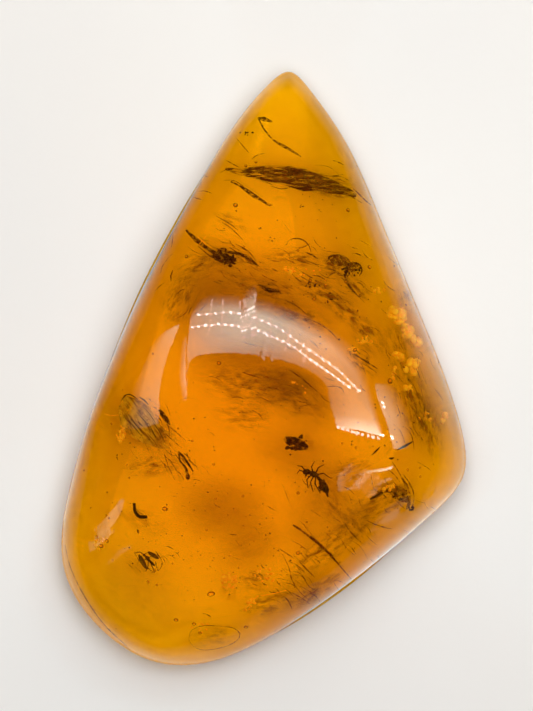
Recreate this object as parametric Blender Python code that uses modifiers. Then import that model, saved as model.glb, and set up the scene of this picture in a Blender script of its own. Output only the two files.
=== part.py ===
"""Polished teardrop of amber, with insects and plant scraps sealed along one flow layer inside it.

The amber is parted along that layer, so each inclusion lies in a pocket of its own between the halves.
"""

import math

import bmesh
import bpy
import numpy as np
from mathutils import Matrix, Vector

MM = 0.001

# Amber, in millimetres. The outline is seen from above and runs clockwise from the tip.
OUTLINE = [
    (2.0, 23.0), (3.8, 21.3), (6.6, 17.1), (9.3, 11.0), (12.3, 3.8), (14.4, -1.6),
    (15.6, -6.0), (15.2, -9.0), (12.5, -11.9), (8.0, -15.7), (2.6, -19.6), (-3.0, -22.5),
    (-8.3, -22.85), (-12.6, -20.3), (-15.2, -16.6), (-15.7, -12.6), (-14.8, -8.0), (-13.1, -2.4),
    (-10.0, 5.2), (-6.3, 12.3), (-2.6, 18.5), (0.2, 21.9),
]
CREST = (-1.0, -3.3)
HEIGHT = 10.0
RIM_HEIGHT = 2.3
# Contours close to the crest are ellipses, turned a little from the stone's length.
CREST_HALF_SIZE = (9.2, 16.8)
CREST_TURN = math.radians(20)
CREST_SHARE = 0.99
CREST_FADE = 0.45
FLATNESS_OF_TOP = 2.44
FULLNESS_OF_SIDE = 0.54
# Rings of the underside as (share of the way out to the outline, height).
UNDERSIDE = [(0.6, 0.0), (0.86, 0.0), (0.96, 0.6)]
# Rings of the dome as shares of the way out to the outline.
DOME = [0.93, 0.78, 0.55, 0.28]
SMOOTHING_LEVELS = 2
CAGE_ROUNDS = 12
# Keeps each column of the sphere clear of the step between two columns of the cage.
COLUMN_SHIFT = 0.25

# Flow layer that holds the inclusions.
LAYER = 2.9
PARTING_GAP = 0.3
POCKET_CLEARANCE = 0.3
CUTTER_SIDE = 80.0
CUTTER_OVERLAP = 5.0

# Inclusions, in millimetres on the layer. Each point of a strand is paired with its half width there.
SLIVER = [
    ((-2.58, 15.14), 0.10), ((-1.58, 14.84), 0.28), ((-0.28, 14.72), 0.51), ((0.69, 14.62), 0.68),
    ((1.57, 14.53), 0.85), ((2.67, 14.30), 0.93), ((3.87, 14.16), 0.68), ((4.85, 13.94), 0.60),
    ((5.84, 13.73), 0.38), ((6.59, 13.51), 0.28), ((6.98, 13.36), 0.14),
]
SLIVER_FLATNESS = 0.22
SCALE = [((-0.32, 19.33), 0.07), ((0.18, 19.21), 0.20), ((0.80, 18.93), 0.06)]
SCALE_STALK = [
    ((-0.25, 19.26), 0.06), ((0.21, 18.37), 0.06), ((0.81, 17.51), 0.06), ((1.41, 16.89), 0.13),
    ((2.53, 16.18), 0.06),
]
TWIG = [
    ((-2.13, 14.00), 0.06), ((-1.45, 13.62), 0.08), ((-0.80, 13.13), 0.16), ((-0.30, 12.73), 0.17),
    ((0.16, 12.44), 0.10), ((0.54, 12.10), 0.08),
]
LEFT_CLUMP = ((-2.78, 7.92), (0.75, 0.42, 0.34), -20)
LEFT_CLUMP_POCKET = ((-2.77, 8.07), (1.35, 1.00, 0.72), -20)
LEFT_LUMP = ((-2.87, 8.45), (0.36, 0.26, 0.26), 30)
LEFT_STREAK = [
    ((-5.07, 10.09), 0.07), ((-4.40, 9.26), 0.16), ((-3.75, 8.64), 0.12), ((-3.09, 8.12), 0.16),
]
LEFT_TAIL = [
    ((-2.87, 8.45), 0.10), ((-1.68, 8.29), 0.13), ((-0.88, 7.92), 0.14), ((-0.32, 7.42), 0.06),
]
RIGHT_RING = ((5.12, 8.04), (0.95, 0.45, 0.24), -12)
RIGHT_LUMP = ((6.33, 7.64), (0.62, 0.40, 0.32), 4)
RIGHT_CLUMP_POCKET = ((5.70, 7.86), (1.85, 1.00, 0.70), -12)
RIGHT_TAIL = [
    ((5.91, 7.61), 0.12), ((5.51, 6.78), 0.10), ((5.98, 5.90), 0.10), ((6.50, 5.34), 0.05),
]
SMALL_SCRAP = [
    ((-0.31, 6.04), 0.06), ((-0.11, 5.76), 0.13), ((0.13, 5.61), 0.19), ((0.45, 5.61), 0.14),
    ((0.81, 5.57), 0.10),
]
LENS_SCRAP = [
    ((-7.04, -3.27), 0.07), ((-6.87, -3.53), 0.17), ((-6.62, -3.92), 0.18), ((-6.37, -4.28), 0.06),
]
LEG = [((-5.83, -6.33), 0.06), ((-5.32, -7.02), 0.09), ((-4.95, -7.67), 0.05)]
LEG_BRANCH = [
    ((-5.83, -6.33), 0.06), ((-5.78, -7.00), 0.07), ((-5.43, -7.52), 0.07), ((-5.35, -7.90), 0.10),
]
LEG_FOOT = ((-5.33, -8.06), (0.16, 0.24, 0.16), 0)
LEG_POCKET = ((-5.45, -7.21), (0.95, 1.60, 0.55), 19)
MEMBRANE = [
    (-9.72, -2.30), (-8.70, -2.56), (-7.69, -3.16), (-7.36, -4.01), (-6.73, -4.68), (-6.02, -5.00),
    (-5.97, -5.54), (-6.29, -6.11), (-7.13, -6.17), (-7.86, -5.90), (-8.59, -5.70), (-9.33, -5.22),
    (-10.05, -4.51), (-10.30, -3.28),
]
MEMBRANE_THICKNESS = 0.16
MEMBRANE_POCKET = ((-8.07, -4.25), (3.05, 1.95, 0.55), -40)
PELLET = ((2.11, -5.70), (0.92, 0.42, 0.34), -24)
PELLET_POCKET = ((2.11, -5.70), (1.40, 0.88, 0.75), -24)
ANT_HEAD = ((2.80, -7.76), (0.27, 0.22, 0.20), 0)
ANT_THORAX = ((3.30, -7.94), (0.36, 0.22, 0.22), -25)
ANT_WAIST = ((3.62, -8.25), (0.20, 0.12, 0.12), -50)
ANT_GASTER = ((3.97, -8.79), (0.58, 0.27, 0.25), -62)
ANT_TAIL = [((4.10, -9.04), 0.12), ((4.27, -9.55), 0.05)]
ANT_LEGS = [
    [(3.15, -7.93), (2.84, -8.31), (2.91, -8.89)],
    [(3.29, -8.02), (3.08, -8.54), (3.26, -9.16)],
    [(3.42, -8.07), (3.40, -8.62), (3.72, -9.27)],
    [(3.25, -7.85), (3.13, -7.40), (3.33, -7.02)],
    [(3.39, -7.91), (3.60, -7.47), (3.99, -7.24)],
    [(3.46, -7.97), (3.97, -7.87), (4.40, -8.20)],
    [(2.70, -7.79), (2.35, -7.62), (2.18, -7.89)],
    [(2.74, -7.70), (2.49, -7.36), (2.19, -7.31)],
]
ANT_LEG_WIDTH = 0.045
ANT_POCKET = ((3.37, -8.29), (1.95, 1.60, 0.62), -35)
MIDGE_THORAX = ((-8.54, -14.30), (0.24, 0.17, 0.17), -45)
MIDGE_HEAD = ((-8.77, -14.07), (0.13, 0.12, 0.12), -45)
MIDGE_ABDOMEN = ((-8.24, -14.63), (0.34, 0.11, 0.11), -45)
MIDGE_WINGS = [
    ((-8.95, -14.59), (0.62, 0.20, 0.05), -64),
    ((-8.09, -14.03), (0.50, 0.17, 0.05), -30),
]
MIDGE_WING_STEMS = [
    [(-8.59, -14.33), (-8.87, -14.48)],
    [(-8.51, -14.28), (-8.20, -14.08)],
]
MIDGE_LEGS = [
    [(-8.61, -14.19), (-9.14, -13.85), (-9.55, -13.97)],
    [(-8.48, -14.45), (-8.59, -15.05), (-8.75, -15.32)],
    [(-8.39, -14.48), (-8.17, -15.09), (-8.07, -15.41)],
]
MIDGE_LEG_WIDTH = 0.04
MIDGE_POCKET = ((-8.53, -14.48), (1.50, 1.15, 0.50), -40)
FIBRE = [
    ((-9.28, -10.25), 0.11), ((-9.29, -10.73), 0.12), ((-9.17, -11.01), 0.13), ((-8.95, -11.19), 0.14),
    ((-8.71, -11.18), 0.13), ((-8.41, -11.15), 0.11),
]
FIBRE_POCKET = ((-8.88, -10.77), (1.15, 1.20, 0.55), 0)
HUSK = ((9.99, -9.35), (0.95, 0.50, 0.26), -38)
HUSK_STEM = [((7.40, -9.73), 0.08), ((7.97, -9.40), 0.16), ((8.48, -9.07), 0.15), ((9.42, -9.06), 0.14)]
HUSK_EDGE = [
    ((10.00, -8.12), 0.06), ((10.50, -8.69), 0.08), ((10.81, -9.41), 0.09), ((10.77, -10.15), 0.18),
    ((10.59, -10.57), 0.08),
]
HUSK_POCKET = ((9.42, -9.36), (2.55, 1.75, 0.62), -14)
RED_FIBRE = [
    ((1.90, -11.50), 0.06), ((2.64, -11.99), 0.10), ((3.61, -12.80), 0.11), ((4.49, -13.64), 0.09),
    ((4.99, -14.28), 0.05),
]

STRAND_SIDES = 2
LEG_TAPER = 0.6
LEG_HEIGHTS = (0.03, 0.16, -0.05)
STEM_HEIGHTS = (0.04, 0.02)
POCKET_FLATNESS = 0.5
BLOB_SEGMENTS = 10
BLOB_RINGS = 6
WELD = 1e-7


def collection(name, helpers=False):
    """A collection in the scene; helpers are left out of a render."""
    made = bpy.data.collections.new(name)
    made.hide_render = helpers
    bpy.context.scene.collection.children.link(made)
    return made


def material(name, colour, roughness, alpha=1.0):
    """A plain material."""
    made = bpy.data.materials.new(name)
    made.use_nodes = True
    shader = made.node_tree.nodes["Principled BSDF"]
    shader.inputs["Base Color"].default_value = (*colour, 1.0)
    shader.inputs["Roughness"].default_value = roughness
    shader.inputs["Metallic"].default_value = 0.0
    shader.inputs["Alpha"].default_value = alpha
    return made


def dome_height(share):
    """Height of the dome's skin at this share of the way from the crest to the rim."""
    fall = (1 - share**FLATNESS_OF_TOP) ** FULLNESS_OF_SIDE
    return RIM_HEIGHT + (HEIGHT - RIM_HEIGHT) * fall


def ring(share, height):
    """Points of one ring, an ellipse near the crest that turns into the outline at the rim."""
    roundness = CREST_SHARE * (1 - share) ** CREST_FADE
    points = []
    for x, y in OUTLINE:
        out_x, out_y = x - CREST[0], y - CREST[1]
        reach = math.hypot(out_x, out_y)
        angle = math.atan2(out_y, out_x) - CREST_TURN
        across = math.cos(angle) / CREST_HALF_SIZE[0]
        along = math.sin(angle) / CREST_HALF_SIZE[1]
        ellipse = min(1 / math.hypot(across, along), reach)
        scale = share * ((1 - roundness) * reach + roundness * ellipse) / reach
        points.append((CREST[0] + out_x * scale, CREST[1] + out_y * scale, height))
    return points


def smooth_skin(cage, low_pole, high_pole):
    """Where the smoothed skin passes each point of the cage's rings."""
    count = cage.shape[1]
    low = np.repeat(low_pole[None, None], count, axis=1)
    high = np.repeat(high_pole[None, None], count, axis=1)
    full = np.concatenate([low, cage, high])
    along = (np.roll(full, 1, axis=1) + 4 * full + np.roll(full, -1, axis=1)) / 6
    return (along[:-2] + 4 * along[1:-1] + along[2:]) / 6


def amber_cage():
    """Rings of the coarse cage, swollen until the smoothed skin passes through the wanted points."""
    stations = UNDERSIDE + [(1.0, RIM_HEIGHT)] + [(share, dome_height(share)) for share in DOME]
    wanted = np.array([ring(share, height) for share, height in stations])
    low_pole = np.array([CREST[0], CREST[1], 0.0])
    high_pole = np.array([CREST[0], CREST[1], HEIGHT])
    cage = wanted.copy()
    for _ in range(CAGE_ROUNDS):
        cage += wanted - smooth_skin(cage, low_pole, high_pole)
    # The inner ring of the underside stays level and none dips below it, which leaves a flat to rest on.
    cage[0, :, 2] = 0.0
    cage[:, :, 2] = np.maximum(cage[:, :, 2], 0.0)
    return cage, low_pole, high_pole


def amber_body(name):
    """The whole stone: a sphere's rings drawn out to the cage, then smoothed."""
    cage, low_pole, high_pole = amber_cage()
    rings, count = cage.shape[:2]
    mesh = bmesh.new()
    bmesh.ops.create_uvsphere(mesh, u_segments=count, v_segments=rings + 1, radius=1.0)
    step = math.pi / (rings + 1)
    for vertex in mesh.verts:
        x, y, z = vertex.co
        row = round(math.acos(max(-1.0, min(1.0, -z))) / step) - 1
        if row < 0:
            vertex.co = low_pole * MM
        elif row >= rings:
            vertex.co = high_pole * MM
        else:
            # The outline runs clockwise, so the sphere is taken clockwise too, and its faces stay outward.
            column = math.floor(-math.atan2(y, x) / (2 * math.pi) * count + COLUMN_SHIFT) % count
            vertex.co = cage[row, column] * MM
    body = mesh_object(name, mesh)
    smooth = body.modifiers.new("Smooth", "SUBSURF")
    smooth.levels = SMOOTHING_LEVELS
    smooth.render_levels = SMOOTHING_LEVELS
    return body


def mesh_object(name, mesh):
    """An object made from this bmesh, which is used up."""
    data = bpy.data.meshes.new(name)
    mesh.to_mesh(data)
    mesh.free()
    return bpy.data.objects.new(name, data)


def box(name, low, high):
    """A box between two heights, wider than the stone."""
    mesh = bmesh.new()
    bmesh.ops.create_cube(mesh, size=1.0)
    size = Vector((CUTTER_SIDE, CUTTER_SIDE, high - low)) * MM
    bmesh.ops.scale(mesh, vec=size, verts=mesh.verts)
    bmesh.ops.translate(mesh, vec=(0, 0, (low + high) / 2 * MM), verts=mesh.verts)
    return mesh_object(name, mesh)


def blob(name, centre, half_size, turn=0.0):
    """An ellipsoid at (x, y, height above the layer), turned by degrees about the upright."""
    mesh = bmesh.new()
    bmesh.ops.create_uvsphere(mesh, u_segments=BLOB_SEGMENTS, v_segments=BLOB_RINGS, radius=MM)
    place = Matrix.Translation(Vector((centre[0], centre[1], LAYER + centre[2])) * MM)
    place @= Matrix.Rotation(math.radians(turn), 4, "Z")
    place @= Matrix.Diagonal((*half_size, 1.0))
    bmesh.ops.transform(mesh, matrix=place, verts=mesh.verts)
    return mesh_object(name, mesh)


def strand(name, points, radii, flatness=1.0):
    """A tapering strand through (x, y) or (x, y, height above the layer) points."""
    curve = bpy.data.curves.new(name, "CURVE")
    curve.dimensions = "3D"
    curve.bevel_depth = MM
    curve.bevel_resolution = STRAND_SIDES
    curve.use_fill_caps = True
    line = curve.splines.new("POLY")
    line.points.add(len(points) - 1)
    for knot, place, radius in zip(line.points, points, radii):
        height = place[2] if len(place) > 2 else 0.0
        knot.co = (place[0] * MM, place[1] * MM, height * MM, 1.0)
        knot.radius = radius
    guide = bpy.data.objects.new(name, curve)
    mesh = bmesh.new()
    mesh.from_mesh(bpy.data.meshes.new_from_object(guide))
    bpy.data.objects.remove(guide)
    bmesh.ops.remove_doubles(mesh, verts=mesh.verts, dist=WELD)
    bmesh.ops.scale(mesh, vec=(1, 1, flatness), verts=mesh.verts)
    bmesh.ops.translate(mesh, vec=(0, 0, LAYER * MM), verts=mesh.verts)
    return mesh_object(name, mesh)


def plate(name, outline, thickness):
    """A thin flat piece with this outline, half above the layer and half below."""
    curve = bpy.data.curves.new(name, "CURVE")
    curve.dimensions = "2D"
    curve.fill_mode = "BOTH"
    curve.extrude = thickness / 2 * MM
    edge = curve.splines.new("POLY")
    edge.points.add(len(outline) - 1)
    edge.use_cyclic_u = True
    for knot, (x, y) in zip(edge.points, outline):
        knot.co = (x * MM, y * MM, 0.0, 1.0)
    guide = bpy.data.objects.new(name, curve)
    mesh = bmesh.new()
    mesh.from_mesh(bpy.data.meshes.new_from_object(guide))
    bpy.data.objects.remove(guide)
    bmesh.ops.remove_doubles(mesh, verts=mesh.verts, dist=WELD)
    bmesh.ops.recalc_face_normals(mesh, faces=mesh.faces)
    bmesh.ops.translate(mesh, vec=(0, 0, LAYER * MM), verts=mesh.verts)
    return mesh_object(name, mesh)


def boolean(target, other, operation):
    """Adds one exact Boolean to the target."""
    step = target.modifiers.new(other.name, "BOOLEAN")
    step.operation = operation
    step.solver = "EXACT"
    step.object = other


class Model:
    """The amber, its inclusions and the pockets that they lie in."""

    def __init__(self):
        self.parts = collection("amber_with_inclusions")
        self.helpers = collection("helpers", helpers=True)
        self.pockets = []

    def helper(self, obj):
        """Keeps an object out of the render, as a cutter or as a limb to be fused."""
        self.helpers.objects.link(obj)
        obj.hide_render = True
        obj.display_type = "WIRE"
        return obj

    def pocket_along(self, name, points, radii, flatness=1.0):
        """A hollow along a strand, with the clearance all round and past both ends."""
        spots = [Vector((*place[:2], 0.0)) for place in points]
        spots[0] += (spots[0] - spots[1]).normalized() * POCKET_CLEARANCE
        spots[-1] += (spots[-1] - spots[-2]).normalized() * POCKET_CLEARANCE
        widths = [radius + POCKET_CLEARANCE for radius in radii]
        self.pockets.append(self.helper(strand(name, spots, widths, flatness)))

    def pocket_round(self, name, centre, half_size, turn=0.0):
        """An oval hollow."""
        self.pockets.append(self.helper(blob(name, (*centre, 0.0), half_size, turn)))

    def piece(self, main, look, limbs=()):
        """Makes an inclusion a part of the model, with its limbs fused to it."""
        self.parts.objects.link(main)
        main.data.materials.append(look)
        for limb in limbs:
            boolean(main, self.helper(limb), "UNION")
        return main

    def halves(self, look):
        """The amber below and above the layer, each hollowed by its side of the pockets."""
        low = LAYER - PARTING_GAP / 2
        high = LAYER + PARTING_GAP / 2
        sides = (("amber_lower", -CUTTER_OVERLAP, low), ("amber_upper", high, HEIGHT + CUTTER_OVERLAP))
        for name, bottom, top in sides:
            half = amber_body(name)
            self.parts.objects.link(half)
            half.data.materials.append(look)
            boolean(half, self.helper(box(name + "_side", bottom, top)), "INTERSECT")
            for hollow in self.pockets:
                boolean(half, hollow, "DIFFERENCE")

    def strand_piece(self, name, line, look, flatness=1.0):
        """A single strand in a hollow of its own shape."""
        points, radii = zip(*line)
        self.pocket_along(name + "_hollow", points, radii, max(flatness, POCKET_FLATNESS))
        return self.piece(strand(name, points, radii, flatness), look)


def limb(name, line):
    """A strand that will be fused to a body."""
    points, radii = zip(*line)
    return strand(name, points, radii)


def lump(name, shape):
    """An ellipsoid from its centre, half sizes and turn."""
    centre, half_size, turn = shape
    return blob(name, (*centre, 0.0), half_size, turn)


def thin_limbs(name, lines, width, heights=LEG_HEIGHTS):
    """Legs or feelers of one width, thinner at the end, through these heights above the layer."""
    made = []
    for number, line in enumerate(lines):
        points = [(x, y, height) for (x, y), height in zip(line, heights)]
        radii = [width] * (len(line) - 1) + [width * LEG_TAPER]
        made.append(strand(f"{name}_{number}", points, radii))
    return made


def plant_scraps(model, bark, straw, dark):
    """Bark, a seed scale, twigs and clumps of debris in the upper part of the stone."""
    model.strand_piece("bark_sliver", SLIVER, bark, SLIVER_FLATNESS)
    model.piece(limb("seed_scale", SCALE), dark, [limb("scale_stalk", SCALE_STALK)])
    model.pocket_along("scale_hollow", *zip(*SCALE))
    # The stalk's hollow starts at its second point, because the scale's hollow holds the first.
    model.pocket_along("stalk_hollow", *zip(*SCALE_STALK[1:]))
    model.strand_piece("twig", TWIG, dark)
    limbs = [lump("left_lump", LEFT_LUMP)]
    limbs += [limb("left_streak", LEFT_STREAK), limb("left_tail", LEFT_TAIL)]
    model.piece(lump("debris_clump_left", LEFT_CLUMP), dark, limbs)
    model.pocket_round("left_clump_hollow", *LEFT_CLUMP_POCKET)
    model.pocket_along("left_streak_hollow", *zip(*LEFT_STREAK))
    model.pocket_along("left_tail_hollow", *zip(*LEFT_TAIL))
    limbs = [lump("right_lump", RIGHT_LUMP), limb("right_tail", RIGHT_TAIL)]
    model.piece(lump("debris_clump_right", RIGHT_RING), straw, limbs)
    model.pocket_round("right_clump_hollow", *RIGHT_CLUMP_POCKET)
    model.pocket_along("right_tail_hollow", *zip(*RIGHT_TAIL))
    model.strand_piece("small_scrap", SMALL_SCRAP, dark)
    model.strand_piece("red_fibre", RED_FIBRE, bark)


def left_group(model, film, dark, black):
    """A torn membrane with a scrap and a forked leg beside it, and a curved fibre below."""
    model.piece(plate("torn_membrane", MEMBRANE, MEMBRANE_THICKNESS), film)
    model.pocket_round("membrane_hollow", *MEMBRANE_POCKET)
    model.strand_piece("lens_scrap", LENS_SCRAP, dark)
    limbs = [limb("leg_branch", LEG_BRANCH), lump("leg_foot", LEG_FOOT)]
    model.piece(limb("forked_leg", LEG), dark, limbs)
    model.pocket_round("leg_hollow", *LEG_POCKET)
    model.piece(limb("curved_fibre", FIBRE), black)
    model.pocket_round("fibre_hollow", *FIBRE_POCKET)


def insects(model, black, wing):
    """An ant with bent legs and a winged midge."""
    limbs = [lump("ant_head", ANT_HEAD), lump("ant_waist", ANT_WAIST), lump("ant_gaster", ANT_GASTER)]
    limbs += [limb("ant_tail", ANT_TAIL)] + thin_limbs("ant_leg", ANT_LEGS, ANT_LEG_WIDTH)
    model.piece(lump("ant", ANT_THORAX), black, limbs)
    model.pocket_round("ant_hollow", *ANT_POCKET)
    limbs = [lump("midge_head", MIDGE_HEAD), lump("midge_abdomen", MIDGE_ABDOMEN)]
    limbs += [lump(f"midge_wing_{number}", shape) for number, shape in enumerate(MIDGE_WINGS)]
    limbs += thin_limbs("midge_stem", MIDGE_WING_STEMS, MIDGE_LEG_WIDTH, STEM_HEIGHTS)
    limbs += thin_limbs("midge_leg", MIDGE_LEGS, MIDGE_LEG_WIDTH)
    model.piece(lump("winged_midge", MIDGE_THORAX), wing, limbs)
    model.pocket_round("midge_hollow", *MIDGE_POCKET)


def right_group(model, straw, dark):
    """A pellet and a curled husk."""
    model.piece(lump("pellet", PELLET), dark)
    model.pocket_round("pellet_hollow", *PELLET_POCKET)
    limbs = [limb("husk_stem", HUSK_STEM), limb("husk_edge", HUSK_EDGE)]
    model.piece(lump("husk_fragment", HUSK), straw, limbs)
    model.pocket_round("husk_hollow", *HUSK_POCKET)


def main():
    for old in list(bpy.data.objects):
        bpy.data.objects.remove(old)
    amber = material("amber", (0.86, 0.42, 0.02), 0.05, 0.6)
    bark = material("bark", (0.22, 0.08, 0.03), 0.7)
    straw = material("straw", (0.42, 0.26, 0.06), 0.6)
    dark = material("dark plant scrap", (0.09, 0.035, 0.02), 0.6)
    black = material("black chitin", (0.02, 0.012, 0.01), 0.4)
    film = material("membrane", (0.5, 0.33, 0.2), 0.6)
    wing = material("brown chitin", (0.12, 0.05, 0.02), 0.4)
    model = Model()
    plant_scraps(model, bark, straw, dark)
    left_group(model, film, dark, black)
    insects(model, black, wing)
    right_group(model, straw, dark)
    model.halves(amber)


if __name__ == "__main__":
    main()
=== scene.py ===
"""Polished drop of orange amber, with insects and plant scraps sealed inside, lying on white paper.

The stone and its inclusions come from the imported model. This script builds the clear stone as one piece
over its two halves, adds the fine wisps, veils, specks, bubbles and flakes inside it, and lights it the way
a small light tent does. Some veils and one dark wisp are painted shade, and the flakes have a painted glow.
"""

import logging
import math
import random
from abc import ABC, abstractmethod
from dataclasses import dataclass, field
from enum import Enum
from typing import Mapping, Optional, Sequence, Union

import bpy
import numpy as np
from mathutils import Matrix, Vector
from mathutils.bvhtree import BVHTree


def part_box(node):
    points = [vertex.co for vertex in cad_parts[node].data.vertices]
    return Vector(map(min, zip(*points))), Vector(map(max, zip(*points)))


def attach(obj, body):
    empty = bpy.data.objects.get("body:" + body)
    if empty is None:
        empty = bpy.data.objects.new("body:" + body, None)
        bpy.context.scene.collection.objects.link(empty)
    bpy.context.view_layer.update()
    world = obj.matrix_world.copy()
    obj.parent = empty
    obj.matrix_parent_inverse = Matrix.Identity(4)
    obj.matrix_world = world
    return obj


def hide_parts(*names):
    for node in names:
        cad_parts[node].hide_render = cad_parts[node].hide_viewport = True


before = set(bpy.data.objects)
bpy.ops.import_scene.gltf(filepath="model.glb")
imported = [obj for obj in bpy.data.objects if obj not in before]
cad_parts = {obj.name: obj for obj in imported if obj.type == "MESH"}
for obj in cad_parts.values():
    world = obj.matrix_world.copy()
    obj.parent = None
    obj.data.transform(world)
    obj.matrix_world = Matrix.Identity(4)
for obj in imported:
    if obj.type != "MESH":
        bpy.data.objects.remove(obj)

LOG = logging.getLogger("amber_scene")
BODY = "root"
MM = 0.001

Pixel = tuple[float, float]
Colour = tuple[float, float, float]

# Photo frame: millimetres to a pixel, the pixel over the origin and the pixel that the camera is over.
PIXEL_MM = 46 / 589
ORIGIN_PIXEL = (264.0, 368.5)
CENTRE_PIXEL = (266.5, 355.5)
FRAME_HEIGHT = 711
EYE_HEIGHT = 300.0
SENSOR = 36.0
TENT_FLOOR = 0.4
CLEARANCE = 0.35
SQUARE = ((-1, -1), (1, -1), (1, 1), (-1, 1))


# Shader building


class Signal:
    """One output socket, with arithmetic that adds the nodes it needs."""

    def __init__(self, graph: "Graph", socket: bpy.types.NodeSocket) -> None:
        """Wraps a socket of the graph."""
        self.graph = graph
        self.socket = socket

    def _step(self, operation: str, other: "Operand", flipped: bool = False) -> "Signal":
        """Joins this signal with another operand.

        Args:
            operation: name of the arithmetic step.
            other: a signal, a number or a colour.
            flipped: true when the other operand stands first.

        Returns:
            The result of the step.
        """
        pair = (other, self) if flipped else (self, other)
        return self.graph.arithmetic(operation, pair[0], pair[1], self.socket.type)

    def __add__(self, other: "Operand") -> "Signal":
        """This plus the other."""
        return self._step("ADD", other)

    def __radd__(self, other: "Operand") -> "Signal":
        """The other plus this."""
        return self._step("ADD", other, flipped=True)

    def __sub__(self, other: "Operand") -> "Signal":
        """This less the other."""
        return self._step("SUBTRACT", other)

    def __rsub__(self, other: "Operand") -> "Signal":
        """The other less this."""
        return self._step("SUBTRACT", other, flipped=True)

    def __mul__(self, other: "Operand") -> "Signal":
        """This times the other."""
        return self._step("MULTIPLY", other)

    def __rmul__(self, other: "Operand") -> "Signal":
        """The other times this."""
        return self._step("MULTIPLY", other, flipped=True)

    def smooth(self, low: float, high: float) -> "Signal":
        """Runs from 0 at low to 1 at high with soft ends."""
        inputs = {"Value": self, "From Min": low, "From Max": high}
        return self.graph.node("ShaderNodeMapRange", {"interpolation_type": "SMOOTHSTEP"}, inputs)


Operand = Union[Signal, float, tuple[float, ...]]


class Graph:
    """Node tree of one material, or of the surroundings."""

    def __init__(self, owner: Union[bpy.types.Material, bpy.types.World], output: str) -> None:
        """Clears the owner's tree and gives it an output.

        Args:
            owner: the material or world.
            output: type of the output node.
        """
        owner.use_nodes = True
        self.tree = owner.node_tree
        self.tree.nodes.clear()
        self.output = self.tree.nodes.new(output)

    def node(
        self,
        kind: str,
        settings: Optional[Mapping[str, object]] = None,
        inputs: Optional[Mapping[Union[str, int], Operand]] = None,
        output: Union[str, int] = 0,
    ) -> Signal:
        """Adds one node.

        Args:
            kind: type of the node.
            settings: properties to set on it.
            inputs: values or signals for its sockets, by name or number.
            output: the socket to return.

        Returns:
            The chosen output of the new node.
        """
        made = self.tree.nodes.new(kind)
        for key, value in (settings or {}).items():
            setattr(made, key, value)
        for key, value in (inputs or {}).items():
            if isinstance(value, Signal):
                self.tree.links.new(value.socket, made.inputs[key])
            else:
                socket = made.inputs[key]
                is_colour = socket.type == "RGBA" and len(value) == 3
                socket.default_value = (*value, 1.0) if is_colour else value
        return Signal(self, made.outputs[output])

    def arithmetic(self, operation: str, first: Operand, second: Operand, form: str) -> Signal:
        """One step between two operands, with the node that suits their form.

        Args:
            operation: name of the step.
            first: the first operand.
            second: the second operand.
            form: socket type of the signal that asked.

        Returns:
            The result.
        """
        if form == "VALUE":
            return self.node("ShaderNodeMath", {"operation": operation}, {0: first, 1: second})
        if form == "VECTOR":
            return self.node("ShaderNodeVectorMath", {"operation": operation}, {0: first, 1: second})
        settings = {"data_type": "RGBA", "blend_type": operation}
        return self.node("ShaderNodeMix", settings, {0: 1.0, 6: first, 7: second}, 2)

    def blend(self, first: Operand, second: Operand, factor: Signal) -> Signal:
        """A colour that turns from the first to the second as the factor goes from 0 to 1."""
        return self.node("ShaderNodeMix", {"data_type": "RGBA"}, {0: factor, 6: first, 7: second}, 2)

    def place(self) -> Signal:
        """Where a point is on the object, in millimetres."""
        return self.node("ShaderNodeTexCoord", output="Object") * (1 / MM, 1 / MM, 1 / MM)

    def value_of(self, name: str) -> Signal:
        """A number stored on the mesh's points."""
        return self.node("ShaderNodeAttribute", {"attribute_name": name}, output="Fac")

    def colour_of(self, name: str) -> Signal:
        """A colour stored on the mesh's points."""
        return self.node("ShaderNodeAttribute", {"attribute_name": name}, output="Color")

    def noise(self, place: Signal, scale: float, detail: float = 3.0, roughness: float = 0.55) -> Signal:
        """Cloudy noise from 0 to 1, with this many lumps to a millimetre."""
        inputs = {"Vector": place, "Scale": scale, "Detail": detail, "Roughness": roughness}
        return self.node("ShaderNodeTexNoise", inputs=inputs)

    def bump(self, height: Signal, depth: float, strength: float = 1.0) -> Signal:
        """A normal bent by a height of this depth in metres."""
        inputs = {"Strength": strength, "Distance": depth, "Height": height}
        return self.node("ShaderNodeBump", inputs=inputs, output="Normal")

    def surface(self, inputs: Mapping[str, Operand]) -> None:
        """Puts a Principled shader on the output."""
        shader = self.node("ShaderNodeBsdfPrincipled", inputs=inputs, output="BSDF")
        self.tree.links.new(shader.socket, self.output.inputs["Surface"])


# Finishes


@dataclass(frozen=True)
class Finish(ABC):
    """A material that a piece is dressed in."""

    name: str

    @abstractmethod
    def paint(self, graph: Graph) -> None:
        """Adds the nodes of this finish to the graph."""

    def material(self) -> bpy.types.Material:
        """Makes the material.

        Returns:
            The new material, with its nodes.
        """
        made = bpy.data.materials.new(self.name)
        self.paint(Graph(made, "ShaderNodeOutputMaterial"))
        return made


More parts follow.
